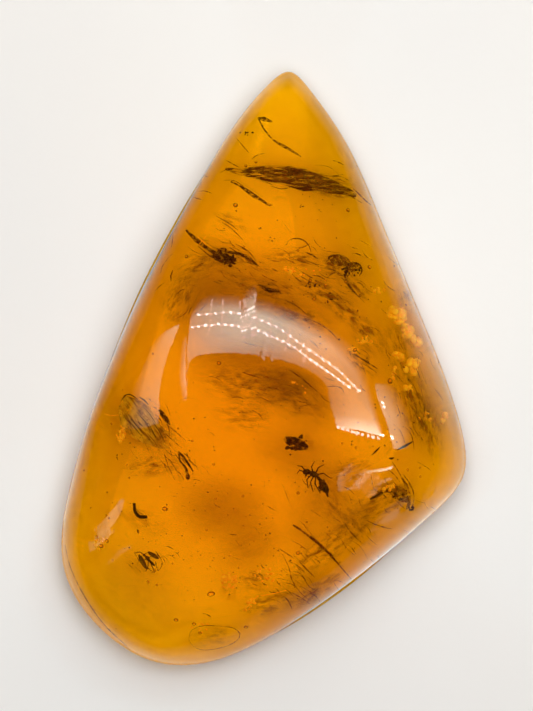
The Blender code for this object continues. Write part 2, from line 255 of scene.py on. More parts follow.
@dataclass(frozen=True)
class ClearAmber(Finish):
    """Clear orange resin with a high polish and the hair-fine marks of use."""

    tint: Colour = (1.0, 0.77, 0.02)
    refraction: float = 1.54
    depth_colour: Colour = (0.93, 0.565, 0.1)
    depth_density: float = 110.0
    mark_depth: float = 0.0000008

    def paint(self, graph: Graph) -> None:
        """Adds the clear surface and its absorption.

        Args:
            graph: the material's graph.
        """
        place = graph.place()
        marks = graph.noise(place * (6.0, 0.8, 6.0), 1.3, 1.0)
        graph.surface(
            {
                "Base Color": self.tint,
                "Roughness": marks.smooth(0.55, 0.8) * 0.03 + 0.004,
                "IOR": self.refraction,
                "Transmission Weight": 1.0,
                "Normal": graph.bump(marks, self.mark_depth),
            }
        )
        inputs = {"Color": self.depth_colour, "Density": self.depth_density}
        volume = graph.node("ShaderNodeVolumeAbsorption", inputs=inputs)
        graph.tree.links.new(volume.socket, graph.output.inputs["Volume"])


@dataclass(frozen=True)
class Scrap(Finish):
    """Dull plant or insect matter with grain, lighter and darker spots and a rough skin."""

    dark: Colour
    light: Colour
    grain: float = 5.0
    stretch: Colour = (1.0, 1.0, 1.0)
    roughness: float = 0.65
    relief: float = 0.00006
    coat: float = 0.0
    gaps: float = 0.0

    def paint(self, graph: Graph) -> None:
        """Adds mottled colour, uneven gloss, relief and thin places that light comes through.

        Args:
            graph: the material's graph.
        """
        place = graph.place() * self.stretch
        mottle = graph.noise(place, self.grain, 3.0, 0.6)
        grit = graph.noise(place, self.grain * 3.5, 2.0)
        colour = graph.blend(self.dark, self.light, (mottle * 0.7 + grit * 0.3).smooth(0.38, 0.66))
        graph.surface(
            {
                "Base Color": colour,
                "Roughness": grit * 0.2 + (self.roughness - 0.1),
                "Coat Weight": self.coat,
                "Alpha": 1.0 - (mottle * 0.75 + grit * 0.25).smooth(0.42, 0.56) * self.gaps,
                "Normal": graph.bump(mottle * 0.6 + grit * 0.4, self.relief),
            }
        )


@dataclass(frozen=True)
class SmokeAndShade(Finish):
    """Thin brown sheet, streaky and fading out at its edges: dust along a flow line, and in places painted
    shade.
    """

    dark: Colour
    light: Colour
    streak: float = 0.9
    evenness: float = 0.0
    detail: float = 5.0
    stretch: float = 2.6

    def paint(self, graph: Graph) -> None:
        """Adds the streaks and the fading alpha.

        Args:
            graph: the material's graph.
        """
        along = graph.value_of("along")
        across = graph.value_of("across")
        inputs = {0: along, 1: across * self.stretch, 2: graph.value_of("seed")}
        place = graph.node("ShaderNodeCombineXYZ", inputs=inputs)
        streaks = graph.noise(place, self.streak, self.detail, 0.6)
        cloud = streaks.smooth(0.4, 0.68) * (1.0 - self.evenness) + self.evenness
        alpha = graph.value_of("fade").smooth(0.0, 0.85) * cloud * graph.value_of("strength")
        graph.surface(
            {
                "Base Color": graph.blend(self.dark, self.light, streaks.smooth(0.4, 0.6)),
                "Roughness": streaks * 0.2 + 0.7,
                "Alpha": alpha,
            }
        )


@dataclass(frozen=True)
class Film(Finish):
    """Torn translucent skin, with a fine grain of parallel fibres and a ragged edge."""

    dark: Colour
    light: Colour
    middle: Pixel
    half_size: Pixel
    slant: float = 52.0
    fullness: float = 0.75

    def paint(self, graph: Graph) -> None:
        """Adds fibres along the slant, thin places between them and tears at the edge.

        Args:
            graph: the material's graph.
        """
        turned = graph.node(
            "ShaderNodeVectorRotate",
            {"rotation_type": "Z_AXIS"},
            {"Vector": graph.place(), "Center": (*self.middle, 0.0), "Angle": math.radians(self.slant)},
        )
        fibres = graph.noise(turned * (0.5, 5.0, 1.0), 1.2, 4.0, 0.55)
        patches = graph.noise(turned, 0.9, 3.0)
        out = (turned - (*self.middle, 0.0)) * (1 / self.half_size[0], 1 / self.half_size[1], 0.0)
        reach = graph.node("ShaderNodeVectorMath", {"operation": "LENGTH"}, {0: out}, "Value")
        whole = (1.25 - reach + (patches - 0.5) * 1.6).smooth(0.1, 0.4)
        alpha = (fibres * 0.35 + patches * 0.65).smooth(0.3, 0.62) * whole * self.fullness
        graph.surface(
            {
                "Base Color": graph.blend(self.light, self.dark, fibres.smooth(0.46, 0.6)),
                "Roughness": fibres * 0.3 + 0.5,
                "Alpha": alpha,
                "Normal": graph.bump(fibres, 0.00005),
            }
        )


@dataclass(frozen=True)
class Flake(Finish):
    """Bright crack or flake, lighter on some of its crystals, with a weak painted glow (emission) in its own
    colour.
    """

    dark: Colour = (1.0, 0.5, 0.06)
    light: Colour = (1.0, 0.64, 0.14)
    solid: float = 1.0
    painted_glow: float = 0.2

    def paint(self, graph: Graph) -> None:
        """Adds glinting patches.

        Args:
            graph: the material's graph.
        """
        place = graph.place()
        glints = graph.noise(place, 3.0, 3.0, 0.6)
        colour = graph.blend(self.dark, self.light, glints.smooth(0.4, 0.62))
        graph.surface(
            {
                "Base Color": colour,
                # Painted glow: the flake gives off its own colour as light, though it is no lamp.
                "Emission Color": colour,
                "Emission Strength": self.painted_glow,
                "Roughness": glints * 0.3 + 0.2,
                "Alpha": glints.smooth(0.1, 0.42) * self.solid,
                "Normal": graph.bump(glints, 0.00003),
            }
        )


@dataclass(frozen=True)
class Paper(Finish):
    """White card with a faint tooth and slow changes of tone."""

    warm: Colour = (0.945, 0.927, 0.902)
    cool: Colour = (0.915, 0.907, 0.896)

    def paint(self, graph: Graph) -> None:
        """Adds the tooth and the tone.

        Args:
            graph: the material's graph.
        """
        place = graph.place()
        tone = graph.noise(place, 0.02, 2.0)
        tooth = graph.noise(place, 1.1, 2.0, 0.6)
        graph.surface(
            {
                "Base Color": graph.blend(self.warm, self.cool, tone.smooth(0.35, 0.65)),
                "Roughness": tooth * 0.1 + 0.75,
                "Normal": graph.bump(tooth, 0.00002, 0.5),
            }
        )


@dataclass(frozen=True)
class Panel(Finish):
    """Lit cloth of the tent or a row of lamps, as bright as its points say."""

    strength: float = 1.0

    def paint(self, graph: Graph) -> None:
        """Adds the glow."""
        graph.surface(
            {
                "Base Color": (0.0, 0.0, 0.0),
                "Roughness": 1.0,
                "Specular IOR Level": 0.0,
                "Emission Color": graph.colour_of("glow"),
                "Emission Strength": self.strength,
                "Alpha": graph.value_of("cover"),
            }
        )


# Meshes


@dataclass
class Draft:
    """Points, faces and point values gathered for one mesh."""

    points: list[Vector] = field(default_factory=list)
    faces: list[tuple[int, ...]] = field(default_factory=list)
    values: dict[str, list[float]] = field(default_factory=dict)
    colours: dict[str, list[Colour]] = field(default_factory=dict)

    def add(self, points: Sequence[Vector], faces: Sequence[Sequence[int]]) -> None:
        """Adds a shape.

        Args:
            points: its points, in millimetres.
            faces: its faces, as numbers into those points.
        """
        start = len(self.points)
        self.points.extend(points)
        self.faces.extend(tuple(start + corner for corner in face) for face in faces)

    def tube(self, line: Sequence[Vector], radii: Sequence[float], sides: int = 6) -> None:
        """Adds a closed tapering tube along a line.

        Args:
            line: the points it passes, in millimetres.
            radii: its radius at each of them.
            sides: corners of its section.
        """
        rings: list[Vector] = []
        count = len(line)
        for spot, (centre, radius) in enumerate(zip(line, radii)):
            ahead = (line[min(spot + 1, count - 1)] - line[max(spot - 1, 0)]).normalized()
            side = ahead.cross(Vector((0, 0, 1)))
            side = side.normalized() if side.length > 1e-4 else Vector((1, 0, 0))
            up = side.cross(ahead)
            for corner in range(sides):
                turn = 2 * math.pi * corner / sides
                rings.append(centre + (side * math.cos(turn) + up * math.sin(turn)) * radius)
        faces = []
        for ring in range(count - 1):
            low, high = ring * sides, (ring + 1) * sides
            for k in range(sides):
                after = (k + 1) % sides
                faces.append((low + k, high + k, high + after, low + after))
        faces.append(tuple(range(sides)))
        faces.append(tuple(reversed(range((count - 1) * sides, count * sides))))
        self.add(rings, faces)

    def lump(
        self,
        centre: Vector,
        half_size: Sequence[float],
        turn: Matrix = Matrix.Identity(3),
        detail: int = 8,
        roughness: float = 0.0,
        seed: int = 0,
        hollow: bool = False,
    ) -> None:
        """Adds an ellipsoid, which may be rough, or hollow with its faces turned in.

        Args:
            centre: its middle, in millimetres.
            half_size: its half sizes.
            turn: its rotation.
            detail: segments round it.
            roughness: share by which its points are moved in or out.
            seed: number that fixes the roughness.
            hollow: true for a void in a clear solid.
        """
        chance = random.Random(seed)
        rows = max(3, detail // 2)
        points = [Vector((0, 0, -1))]
        for row in range(1, rows):
            height = -math.cos(math.pi * row / rows)
            width = math.sin(math.pi * row / rows)
            for k in range(detail):
                angle = 2 * math.pi * k / detail
                points.append(Vector((math.cos(angle) * width, math.sin(angle) * width, height)))
        points.append(Vector((0, 0, 1)))
        last = len(points) - 1
        faces: list[tuple[int, ...]] = []
        for k in range(detail):
            after = (k + 1) % detail
            faces.append((0, 1 + after, 1 + k))
            faces.append((last, last - detail + k, last - detail + after))
            for row in range(rows - 2):
                low, high = 1 + row * detail, 1 + (row + 1) * detail
                faces.append((low + k, low + after, high + after, high + k))
        if hollow:
            faces = [tuple(reversed(face)) for face in faces]
        placed = []
        for point in points:
            swell = 1 + chance.uniform(-roughness, roughness)
            sized = Vector([coordinate * half * swell for coordinate, half in zip(point, half_size)])
            placed.append(centre + turn @ sized)
        self.add(placed, faces)

    def build(self, name: str, finish: Finish, slot: Optional[str]) -> bpy.types.Object:
        """Makes the object, dresses it and puts it on the body.

        Args:
            name: name of the piece.
            finish: what it is dressed in.
            slot: None for a piece of the stage, which stays off the body; any other value puts the piece on
                the body.

        Returns:
            The object.
        """
        mesh = bpy.data.meshes.new(name)
        mesh.from_pydata([point * MM for point in self.points], [], self.faces)
        for key, numbers in self.values.items():
            mesh.attributes.new(key, "FLOAT", "POINT").data.foreach_set("value", numbers)
        for key, colours in self.colours.items():
            flat = [part for colour in colours for part in (*colour, 1.0)]
            mesh.attributes.new(key, "FLOAT_COLOR", "POINT").data.foreach_set("color", flat)
        mesh.polygons.foreach_set("use_smooth", [True] * len(mesh.polygons))
        made = bpy.data.objects.new(name, mesh)
        bpy.context.scene.collection.objects.link(made)
        mesh.materials.append(finish.material())
        if slot is None:
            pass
        else:
            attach(made, BODY)
        LOG.info("%s: %d faces", name, len(self.faces))
        return made


# Stone


@dataclass(frozen=True)
class StoneShape:
    """Sizes of the stone in millimetres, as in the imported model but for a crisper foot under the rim."""

    outline: tuple[Pixel, ...] = (
        (2.0, 23.0), (3.8, 21.3), (6.6, 17.1), (9.3, 11.0), (12.3, 3.8), (14.4, -1.6),
        (15.6, -6.0), (15.2, -9.0), (12.5, -11.9), (8.0, -15.7), (2.6, -19.6), (-3.0, -22.5),
        (-8.3, -22.85), (-12.6, -20.3), (-15.2, -16.6), (-15.7, -12.6), (-14.8, -8.0), (-13.1, -2.4),
        (-10.0, 5.2), (-6.3, 12.3), (-2.6, 18.5), (0.2, 21.9),
    )
    crest: Pixel = (-1.0, -3.3)
    height: float = 10.0
    rim: float = 2.3
    crest_half_size: Pixel = (9.2, 16.8)
    crest_turn: float = math.radians(20)
    crest_share: float = 0.99
    crest_fade: float = 0.45
    flatness: float = 2.44
    fullness: float = 0.54
    underside: tuple[Pixel, ...] = ((0.6, 0.0), (0.985, 0.0), (0.999, 0.15))
    dome: tuple[float, ...] = (0.93, 0.78, 0.55, 0.28)
    rounds: int = 12
    levels: int = 4

    def dome_height(self, share: float) -> float:
        """Height of the dome at this share of the way from the crest to the rim."""
        return self.rim + (self.height - self.rim) * (1 - share**self.flatness) ** self.fullness

    def ring(self, share: float, height: float) -> list[tuple[float, float, float]]:
        """Points of one ring, an ellipse near the crest that turns into the outline at the rim.

        Args:
            share: share of the way from the crest to the rim.
            height: height of the ring.

        Returns:
            A point for each point of the outline.
        """
        roundness = self.crest_share * (1 - share) ** self.crest_fade
        points = []
        for x, y in self.outline:
            out_x, out_y = x - self.crest[0], y - self.crest[1]
            reach = math.hypot(out_x, out_y)
            angle = math.atan2(out_y, out_x) - self.crest_turn
            across = math.cos(angle) / self.crest_half_size[0]
            along = math.sin(angle) / self.crest_half_size[1]
            ellipse = min(1 / math.hypot(across, along), reach)
            scale = share * ((1 - roundness) * reach + roundness * ellipse) / reach
            points.append((self.crest[0] + out_x * scale, self.crest[1] + out_y * scale, height))
        return points

    def cage(self) -> np.ndarray:
        """Rings of the coarse cage, swollen until the smoothed skin passes through the wanted points.

        Returns:
            The points, by ring from the flat up and by point of the outline.
        """
        dome = [(share, self.dome_height(share)) for share in self.dome]
        stations = [*self.underside, (1.0, self.rim), *dome]
        wanted = np.array([self.ring(share, height) for share, height in stations])
        low = np.array([[(*self.crest, 0.0)] * len(self.outline)])
        high = np.array([[(*self.crest, self.height)] * len(self.outline)])
        cage = wanted.copy()
        for _ in range(self.rounds):
            full = np.concatenate([low, cage, high])
            along = (np.roll(full, 1, axis=1) + 4 * full + np.roll(full, -1, axis=1)) / 6
            cage += wanted - (along[:-2] + 4 * along[1:-1] + along[2:]) / 6
        cage[0, :, 2] = 0.0
        cage[:, :, 2] = np.maximum(cage[:, :, 2], 0.0)
        return cage

    def skin(self) -> tuple[list[Vector], list[tuple[int, ...]], list[Vector]]:
        """The smoothed outside of the stone.

        Returns:
            Its points in millimetres, its faces and the normal at each point.
        """
        cage = self.cage()
        rings, count = cage.shape[:2]
        points = [Vector(point) for row in cage for point in row]
        points += [Vector((*self.crest, 0.0)), Vector((*self.crest, self.height))]
        faces: list[tuple[int, ...]] = []
        for k in range(count):
            after = (k + 1) % count
            for ring in range(rings - 1):
                low, high = ring * count, (ring + 1) * count
                faces.append((low + after, low + k, high + k, high + after))
            faces.append((k, after, rings * count))
            faces.append(((rings - 1) * count + after, (rings - 1) * count + k, rings * count + 1))
        mesh = bpy.data.meshes.new("cage")
        mesh.from_pydata(points, [], faces)
        rough = bpy.data.objects.new("cage", mesh)
        bpy.context.scene.collection.objects.link(rough)
        smooth = rough.modifiers.new("Smooth", "SUBSURF")
        smooth.levels = smooth.render_levels = self.levels
        fine = rough.evaluated_get(bpy.context.evaluated_depsgraph_get()).to_mesh()
        result = (
            [vertex.co.copy() for vertex in fine.vertices],
            [tuple(face.vertices) for face in fine.polygons],
            [vertex.normal.copy() for vertex in fine.vertices],
        )
        bpy.data.objects.remove(rough)
        bpy.data.meshes.remove(mesh)
        return result


class Sight:
    """What the camera sees on and through the stone, for placing pieces by photo pixel."""

    least_level: float = 0.2
    least_facing: float = 0.3

    def __init__(self, shape: StoneShape, refraction: float) -> None:
        """Builds the stone's skin and a tree to cast rays against it.

        Args:
            shape: sizes of the stone.
            refraction: how strongly the amber bends light.
        """
        self.shape = shape
        self.refraction = refraction
        self.points, self.faces, self.normals = shape.skin()
        self.tree = BVHTree.FromPolygons(self.points, self.faces)
        over = self.flat(CENTRE_PIXEL)
        self.eye = Vector((over[0], over[1], EYE_HEIGHT))

    def flat(self, pixel: Pixel) -> Pixel:
        """Place of a pixel on the plane of the stone's rim, in millimetres."""
        return (pixel[0] - ORIGIN_PIXEL[0]) * PIXEL_MM, (ORIGIN_PIXEL[1] - pixel[1]) * PIXEL_MM

    def skin_at(self, pixel: Pixel) -> Optional[tuple[Vector, Vector, Vector]]:
        """Where a pixel meets the stone.

        Args:
            pixel: the photo pixel.

        Returns:
            The point, the normal there and the line of sight, or None beside the stone.
        """
        line = (Vector((*self.flat(pixel), self.shape.rim)) - self.eye).normalized()
        place, _, face, _ = self.tree.ray_cast(self.eye, line)
        if place is None:
            return None
        total = Vector()
        for corner in self.faces[face]:
            total += self.normals[corner] / ((self.points[corner] - place).length + 1e-6)
        return place, total.normalized(), line

    def inside(self, pixel: Pixel, height: float, clearance: float = CLEARANCE) -> Optional[Vector]:
        """Point inside the stone that is seen at a pixel.

        Args:
            pixel: the photo pixel.
            height: wanted height above the paper, in millimetres.
            clearance: least depth under the skin.

        Returns:
            The point, or None beside the stone or where the stone is too thin.
        """
        found = self.skin_at(pixel)
        if found is None:
            return None
        place, normal, line = found
        ratio = 1 / self.refraction
        facing = -normal.dot(line)
        bent = ratio * line + (ratio * facing - math.sqrt(1 - ratio**2 * (1 - facing**2))) * normal
        level = min(height, place.z - clearance / max(facing, self.least_facing))
        if level < self.least_level:
            return None
        return place + bent * ((level - place.z) / bent.z)

    def mirrored(self, pixel: Pixel, reach: float, floor: float = TENT_FLOOR) -> Optional[Vector]:
        """Point of the tent, a dome with a floor, that is mirrored in the skin at a pixel.

        Args:
            pixel: the photo pixel.
            reach: radius of the dome, in millimetres.
            floor: height of the floor.

        Returns:
            The point, or None beside the stone.
        """
        found = self.skin_at(pixel)
        if found is None:
            return None
        place, normal, line = found
        away = line - 2 * line.dot(normal) * normal
        half = place.dot(away)
        far = -half + math.sqrt(half**2 + reach**2 - place.length_squared)
        if away.z < 0:
            far = min(far, (floor - place.z) / away.z)
        return place + away * far


def smooth_line(points: Sequence[Pixel], count: int) -> list[Pixel]:
    """A soft curve through the points.

    Args:
        points: the points it passes.
        count: how many points to return, evenly spaced.

    Returns:
        The points of the curve.
    """
    knots = np.array([points[0], *points, points[-1]], dtype=float)
    dense = []
    for first, second, third, fourth in zip(knots, knots[1:], knots[2:], knots[3:]):
        for t in np.linspace(0, 1, 12, endpoint=False):
            slope = (third - first) * t + (2 * first - 5 * second + 4 * third - fourth) * t**2
            dense.append(second + 0.5 * (slope + (3 * second - first - 3 * third + fourth) * t**3))
    dense.append(knots[-1])
    path = np.array(dense)
    lengths = np.concatenate([[0], np.cumsum(np.linalg.norm(np.diff(path, axis=0), axis=1))])
    wanted = np.linspace(0, lengths[-1], count)
    return [(float(x), float(y)) for x, y in zip(*(np.interp(wanted, lengths, path[:, k]) for k in (0, 1)))]


def turned(middle: Pixel, along: float, across: float, degrees: float) -> Pixel:
    """The pixel this far along and across a direction from a middle.

    Args:
        middle: the pixel to start from.
        along: pixels along the direction.
        across: pixels across it.
        degrees: the direction, clockwise from the right.

    Returns:
        The pixel.
    """
    turn = math.radians(degrees)
    x = middle[0] + along * math.cos(turn) - across * math.sin(turn)
    return x, middle[1] + along * math.sin(turn) + across * math.cos(turn)


def sheet(grid: Sequence[Sequence[Optional[int]]], closed: bool) -> list[tuple[int, ...]]:
    """Faces between the rows of a grid, left out where a point is missing.

    Args:
        grid: the number of each point, or None, by row and column.
        closed: true where the last column joins the first.

    Returns:
        The faces.
    """
    columns = len(grid[0])
    faces = []
    for low, high in zip(grid, grid[1:]):
        for k in range(columns if closed else columns - 1):
            after = (k + 1) % columns
            faces.append((low[k], low[after], high[after], high[k]))
    return [face for face in faces if None not in face]


# Pieces of the object


@dataclass(frozen=True)
class Bubble:
    """Air bubble seen at a photo pixel: half sizes in pixels, height in the stone in millimetres."""

    pixel: Pixel
    size: tuple[float, float, float] = (1.6, 1.6, 1.6)
    height: float = 4.5
    turn: float = 0.0


@dataclass
class Stone:
    """The clear stone in one piece, with its air bubbles as voids."""

    sight: Sight
    finish: ClearAmber
    bubbles: tuple[Bubble, ...] = (
        Bubble((235.5, 205), (2.4, 2.4, 2.2)),
        Bubble((348, 210), (2.2, 2.0, 2.0), 3.6),
        Bubble((186.5, 256.5), (1.8, 1.8, 1.6)),
        Bubble((219, 363), (2.2, 2.2, 2.0), 7.5),
        Bubble((246, 166), (1.6, 1.5, 1.5)),
        Bubble((256, 162), (1.5, 1.4, 1.4)),
        Bubble((369.5, 267), (2.4, 2.0, 1.6), 3.4),
        Bubble((310, 280.6), (1.8, 1.6, 1.6)),
        Bubble((325, 286), (1.6, 1.4, 1.4)),
        Bubble((314, 299), (2.0, 1.8, 1.6), 6.0),
        Bubble((345.6, 281.5), (1.7, 1.6, 1.6)),
        Bubble((360, 295.5), (1.5, 1.4, 1.4), 4.0),
        Bubble((355, 350), (2.6, 1.8, 1.6), 5.0, 30),
        Bubble((390, 381), (3.0, 3.0, 2.4), 5.2),
        Bubble((298, 553), (2.0, 2.0, 1.6), 6.0),
        Bubble((298, 493), (1.6, 1.6, 1.4), 7.0),
        Bubble((165, 509), (2.8, 2.4, 2.0)),
        Bubble((148, 582), (1.6, 1.6, 1.6)),
        Bubble((211, 594), (4.0, 2.6, 1.6), 4.0, 20),
        Bubble((176, 620), (2.4, 1.8, 1.6), 3.0),
        Bubble((246, 627), (2.2, 1.8, 1.6), 2.6),
        Bubble((194, 624), (2.0, 1.8, 1.6), 3.0),
        Bubble((200, 633), (1.6, 1.6, 1.4), 3.0),
        Bubble((101, 546), (2.8, 2.2, 1.6), 3.6),
        Bubble((107, 541), (2.0, 2.0, 1.6), 3.6),
        Bubble((97, 537), (1.6, 1.6, 1.4), 3.6),
    )
    seed: int = 11
    scattered: int = 90
    scattered_across: tuple[float, float] = (80.0, 440.0)
    scattered_down: tuple[float, float, float] = (180.0, 650.0, 560.0)
    scattered_size: tuple[float, float, float] = (0.5, 1.5, 0.7)
    scattered_height: tuple[float, float] = (1.5, 7.0)
    least_height: float = 0.6
    large: float = 0.8

    def build(self) -> None:
        """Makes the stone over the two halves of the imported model."""
        draft = Draft()
        draft.add(self.sight.points, self.sight.faces)
        for bubble in self.bubbles:
            self._hollow(draft, bubble)
        chance = random.Random(self.seed)
        for _ in range(self.scattered):
            pixel = (chance.uniform(*self.scattered_across), chance.triangular(*self.scattered_down))
            size = chance.triangular(*self.scattered_size)
            half_size = (size, size * 0.9, size * 0.8)
            self._hollow(draft, Bubble(pixel, half_size, chance.uniform(*self.scattered_height)))
        made = draft.build("amber_stone", self.finish, "amber")
        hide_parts("amber_lower", "amber_upper")

    def _hollow(self, draft: Draft, bubble: Bubble) -> None:
        """Adds one bubble, if it is well inside the stone.

        Args:
            draft: the draft of the stone.
            bubble: the bubble.
        """
        centre = self.sight.inside(bubble.pixel, bubble.height)
        if centre is None or centre.z < self.least_height:
            return
        half_size = [part * PIXEL_MM for part in bubble.size]
        turn = Matrix.Rotation(math.radians(bubble.turn), 3, "Z")
        detail = 40 if half_size[0] > self.large else 12
        draft.lump(centre, half_size, turn, detail, hollow=True)


class Tone(Enum):
    """Kinds of thin wisp inside the stone."""

    BLACK = "black"
    BROWN = "brown"
    RUST = "rust"
    PALE = "pale"


@dataclass(frozen=True)
class Wisp:
    """Hair, fibre or painted shade line seen along photo pixels, with its half width in pixels and its height
    in the stone.
    """

    tone: Tone
    width: float
    height: float
    line: tuple[Pixel, ...]


@dataclass(frozen=True)
class Cloud:
    """Brown patch seen at a photo pixel, of smoke and in places painted shade: half sizes in pixels, turn in
    degrees, height and strength.
    """

    pixel: Pixel
    size: Pixel
    turn: float
    height: float
    strength: float


@dataclass(frozen=True)
class Cluster:
    """Group of small bodies round a photo pixel."""

    pixel: Pixel
    spread: Pixel
    count: int
    size: float
    height: float
    turn: float = 0.0


@dataclass
class Wisps:
    """Hairs and fibres inside the stone, and one painted shade line, one piece to a tone."""

    sight: Sight
    finishes: Mapping[Tone, tuple[Finish, str]]
    wisps: tuple[Wisp, ...]
    strays: tuple[Cluster, ...]
    seed: int = 23
    stray_width: tuple[float, float, float] = (0.15, 0.7, 0.22)
    stray_length: tuple[float, float, float] = (0.3, 1.4, 0.6)
    stray_scatter: float = 0.5
    stray_turn: float = 14.0
    stray_sag: float = 0.3
    stray_height: tuple[float, float] = (-0.5, 0.7)

    def build(self) -> None:
        """Makes one mesh of fine tubes for each tone."""
        chance = random.Random(self.seed)
        stray = [self._stray(cluster, chance) for cluster in self.strays for _ in range(cluster.count)]
        for tone, (finish, slot) in self.finishes.items():
            draft = Draft()
            for wisp in (wisp for wisp in (*self.wisps, *stray) if wisp.tone is tone):
                self._tube(draft, wisp)
            draft.build(f"wisps_{tone.value}", finish, slot)

    def _stray(self, cluster: Cluster, chance: random.Random) -> Wisp:
        """One short hair of a group, lying about along the group's turn.

        Args:
            cluster: the group, whose size is half the length of a long hair.
            chance: the source of chance.

        Returns:
            The hair.
        """
        places = zip(cluster.pixel, cluster.spread)
        spot = [middle + chance.gauss(0, self.stray_scatter) * half for middle, half in places]
        angle = math.radians(cluster.turn + chance.gauss(0, self.stray_turn))
        half = cluster.size * chance.triangular(*self.stray_length)
        sag = chance.uniform(-self.stray_sag, self.stray_sag) * half
        ahead, aside = (math.cos(angle), math.sin(angle)), (-math.sin(angle), math.cos(angle))
        line = tuple(
            (spot[0] + ahead[0] * half * at + aside[0] * bow, spot[1] + ahead[1] * half * at + aside[1] * bow)
            for at, bow in ((-1.0, 0.0), (-0.3, sag), (0.4, sag * 0.8), (1.0, 0.0))
        )
        tone = chance.choice((Tone.BROWN, Tone.BROWN, Tone.RUST))
        width = chance.triangular(*self.stray_width)
        return Wisp(tone, width, cluster.height + chance.uniform(*self.stray_height), line)

    def _tube(self, draft: Draft, wisp: Wisp) -> None:
        """Adds one wisp, thinner at its ends.

        Args:
            draft: the draft of its tone.
            wisp: the wisp.
        """
        count = max(4, 3 * len(wisp.line))
        found = [self.sight.inside(pixel, wisp.height) for pixel in smooth_line(wisp.line, count)]
        line = [point for point in found if point is not None]
        if len(line) < 3:
            return
        shares = np.linspace(0, math.pi, len(line))
        radii = [wisp.width * PIXEL_MM * (0.35 + 0.65 * math.sin(share)) for share in shares]
        draft.tube(line, radii)


@dataclass
class Clouds:
    """Smoky patches lying along the flow lines, and some sheets of painted shade."""

    sight: Sight
    name: str
    finish: Finish
    slot: str
    clouds: tuple[Cloud, ...]
    rings: int = 5
    segments: int = 28
    dish: float = 0.35
    dish_wave: float = 2.2
    pull: float = 0.15
    seed_step: float = 3.7

    def build(self) -> None:
        """Makes all the patches as one mesh, with their place and fading on its points."""
        draft = Draft(values={key: [] for key in ("along", "across", "fade", "strength", "seed")})
        for number, cloud in enumerate(self.clouds):
            self._patch(draft, cloud, number)
        draft.build(self.name, self.finish, self.slot)

    def _patch(self, draft: Draft, cloud: Cloud, number: int) -> None:
        """Adds one oval patch, dished a little.

        Args:
            draft: the draft of all the patches.
            cloud: the patch.
            number: its number, which sets its streaks apart from the others'.
        """
        points: list[Vector] = []
        rows = [(0.0, 0.0)] + [
            (ring / self.rings, 2 * math.pi * k / self.segments)
            for ring in range(1, self.rings + 1)
            for k in range(self.segments)
        ]
        for share, angle in rows:
            along = math.cos(angle) * share * cloud.size[0]
            across = math.sin(angle) * share * cloud.size[1]
            pixel = turned(cloud.pixel, along, across, cloud.turn)
            level = cloud.height + self.dish * math.sin(self.dish_wave * along * PIXEL_MM + number)
            point = self.sight.inside(pixel, level)
            while point is None:
                pixel = tuple(part + (middle - part) * self.pull for part, middle in zip(pixel, cloud.pixel))
                point = self.sight.inside(pixel, level)
            points.append(point)
            for key, value in (
                ("along", along * PIXEL_MM),
                ("across", across * PIXEL_MM),
                ("fade", 1 - share),
                ("strength", cloud.strength),
                ("seed", number * self.seed_step),
            ):
                draft.values[key].append(value)
        count = self.segments
        faces: list[tuple[int, ...]] = [(0, 1 + k, 1 + (k + 1) % count) for k in range(count)]
        for ring in range(self.rings - 1):
            low, high = 1 + ring * count, 1 + (ring + 1) * count
            for k in range(count):
                after = (k + 1) % count
                faces.append((low + k, high + k, high + after, low + after))
        draft.add(points, faces)


@dataclass
class Grains:
    """Small bodies scattered in groups: specks, crumbs or flakes."""

    sight: Sight
    name: str
    finish: Finish
    slot: str
    clusters: tuple[Cluster, ...]
    flatness: float = 0.7
    seed: int = 5
    roughness: float = 0.25
    size_range: tuple[float, float, float] = (0.4, 1.3, 0.7)
    height_spread: float = 0.4
    least_height: float = 0.15
    tilt: float = 0.6

    def build(self) -> None:
        """Makes all the groups as one mesh."""
        draft = Draft()
        chance = random.Random(self.seed)
        for cluster in self.clusters:
            for _ in range(cluster.count):
                self._grain(draft, cluster, chance)
        draft.build(self.name, self.finish, self.slot)

    def _grain(self, draft: Draft, cluster: Cluster, chance: random.Random) -> None:
        """Adds one small body of a group.

        Args:
            draft: the draft of all the groups.
            cluster: the group.
            chance: the source of chance.
        """
        angle, share = chance.uniform(0, 2 * math.pi), math.sqrt(chance.random())
        along = math.cos(angle) * share * cluster.spread[0]
        across = math.sin(angle) * share * cluster.spread[1]
        pixel = turned(cluster.pixel, along, across, cluster.turn)
        size = cluster.size * PIXEL_MM * chance.triangular(*self.size_range)
        reach = size * 0.7
        level = cluster.height + chance.uniform(-self.height_spread, self.height_spread)
        centre = self.sight.inside(pixel, level, CLEARANCE + reach)
        if centre is None or centre.z < self.least_height + reach:
            return
        tilt = Matrix.Rotation(chance.uniform(-self.tilt, self.tilt), 3, "X")
        tilt = tilt @ Matrix.Rotation(chance.uniform(0, 6.3), 3, "Z")
        half_size = (size, size * chance.uniform(0.5, 1.0), size * self.flatness)
        draft.lump(centre, half_size, tilt, 8, self.roughness, chance.randrange(10**6))


def dress(node: str, finish: Finish) -> None:
    """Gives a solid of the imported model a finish.

    Args:
        node: name of the solid.
        finish: what it is dressed in.
    """
    material = finish.material()
    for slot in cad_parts[node].material_slots:
        slot.link = "OBJECT"
        slot.material = material


# Studio


@dataclass(frozen=True)
class Reflection:
    """Lit panel, as rows of photo pixels where the stone mirrors it.

    Each row has a brightness and a cover, and gain is the brightness along the rows.
    """

    rows: tuple[tuple[Pixel, ...], ...]
    glow: tuple[float, ...]
    cover: tuple[float, ...]
    tint: Colour = (0.8, 1.06, 0.97)
    gain: tuple[float, ...] = (1.0,)


@dataclass(frozen=True)
class LampRow:
    """Row of small lamps, as photo pixels where the stone mirrors it."""

    line: tuple[Pixel, ...]
    count: int
    size: float
    glow: float


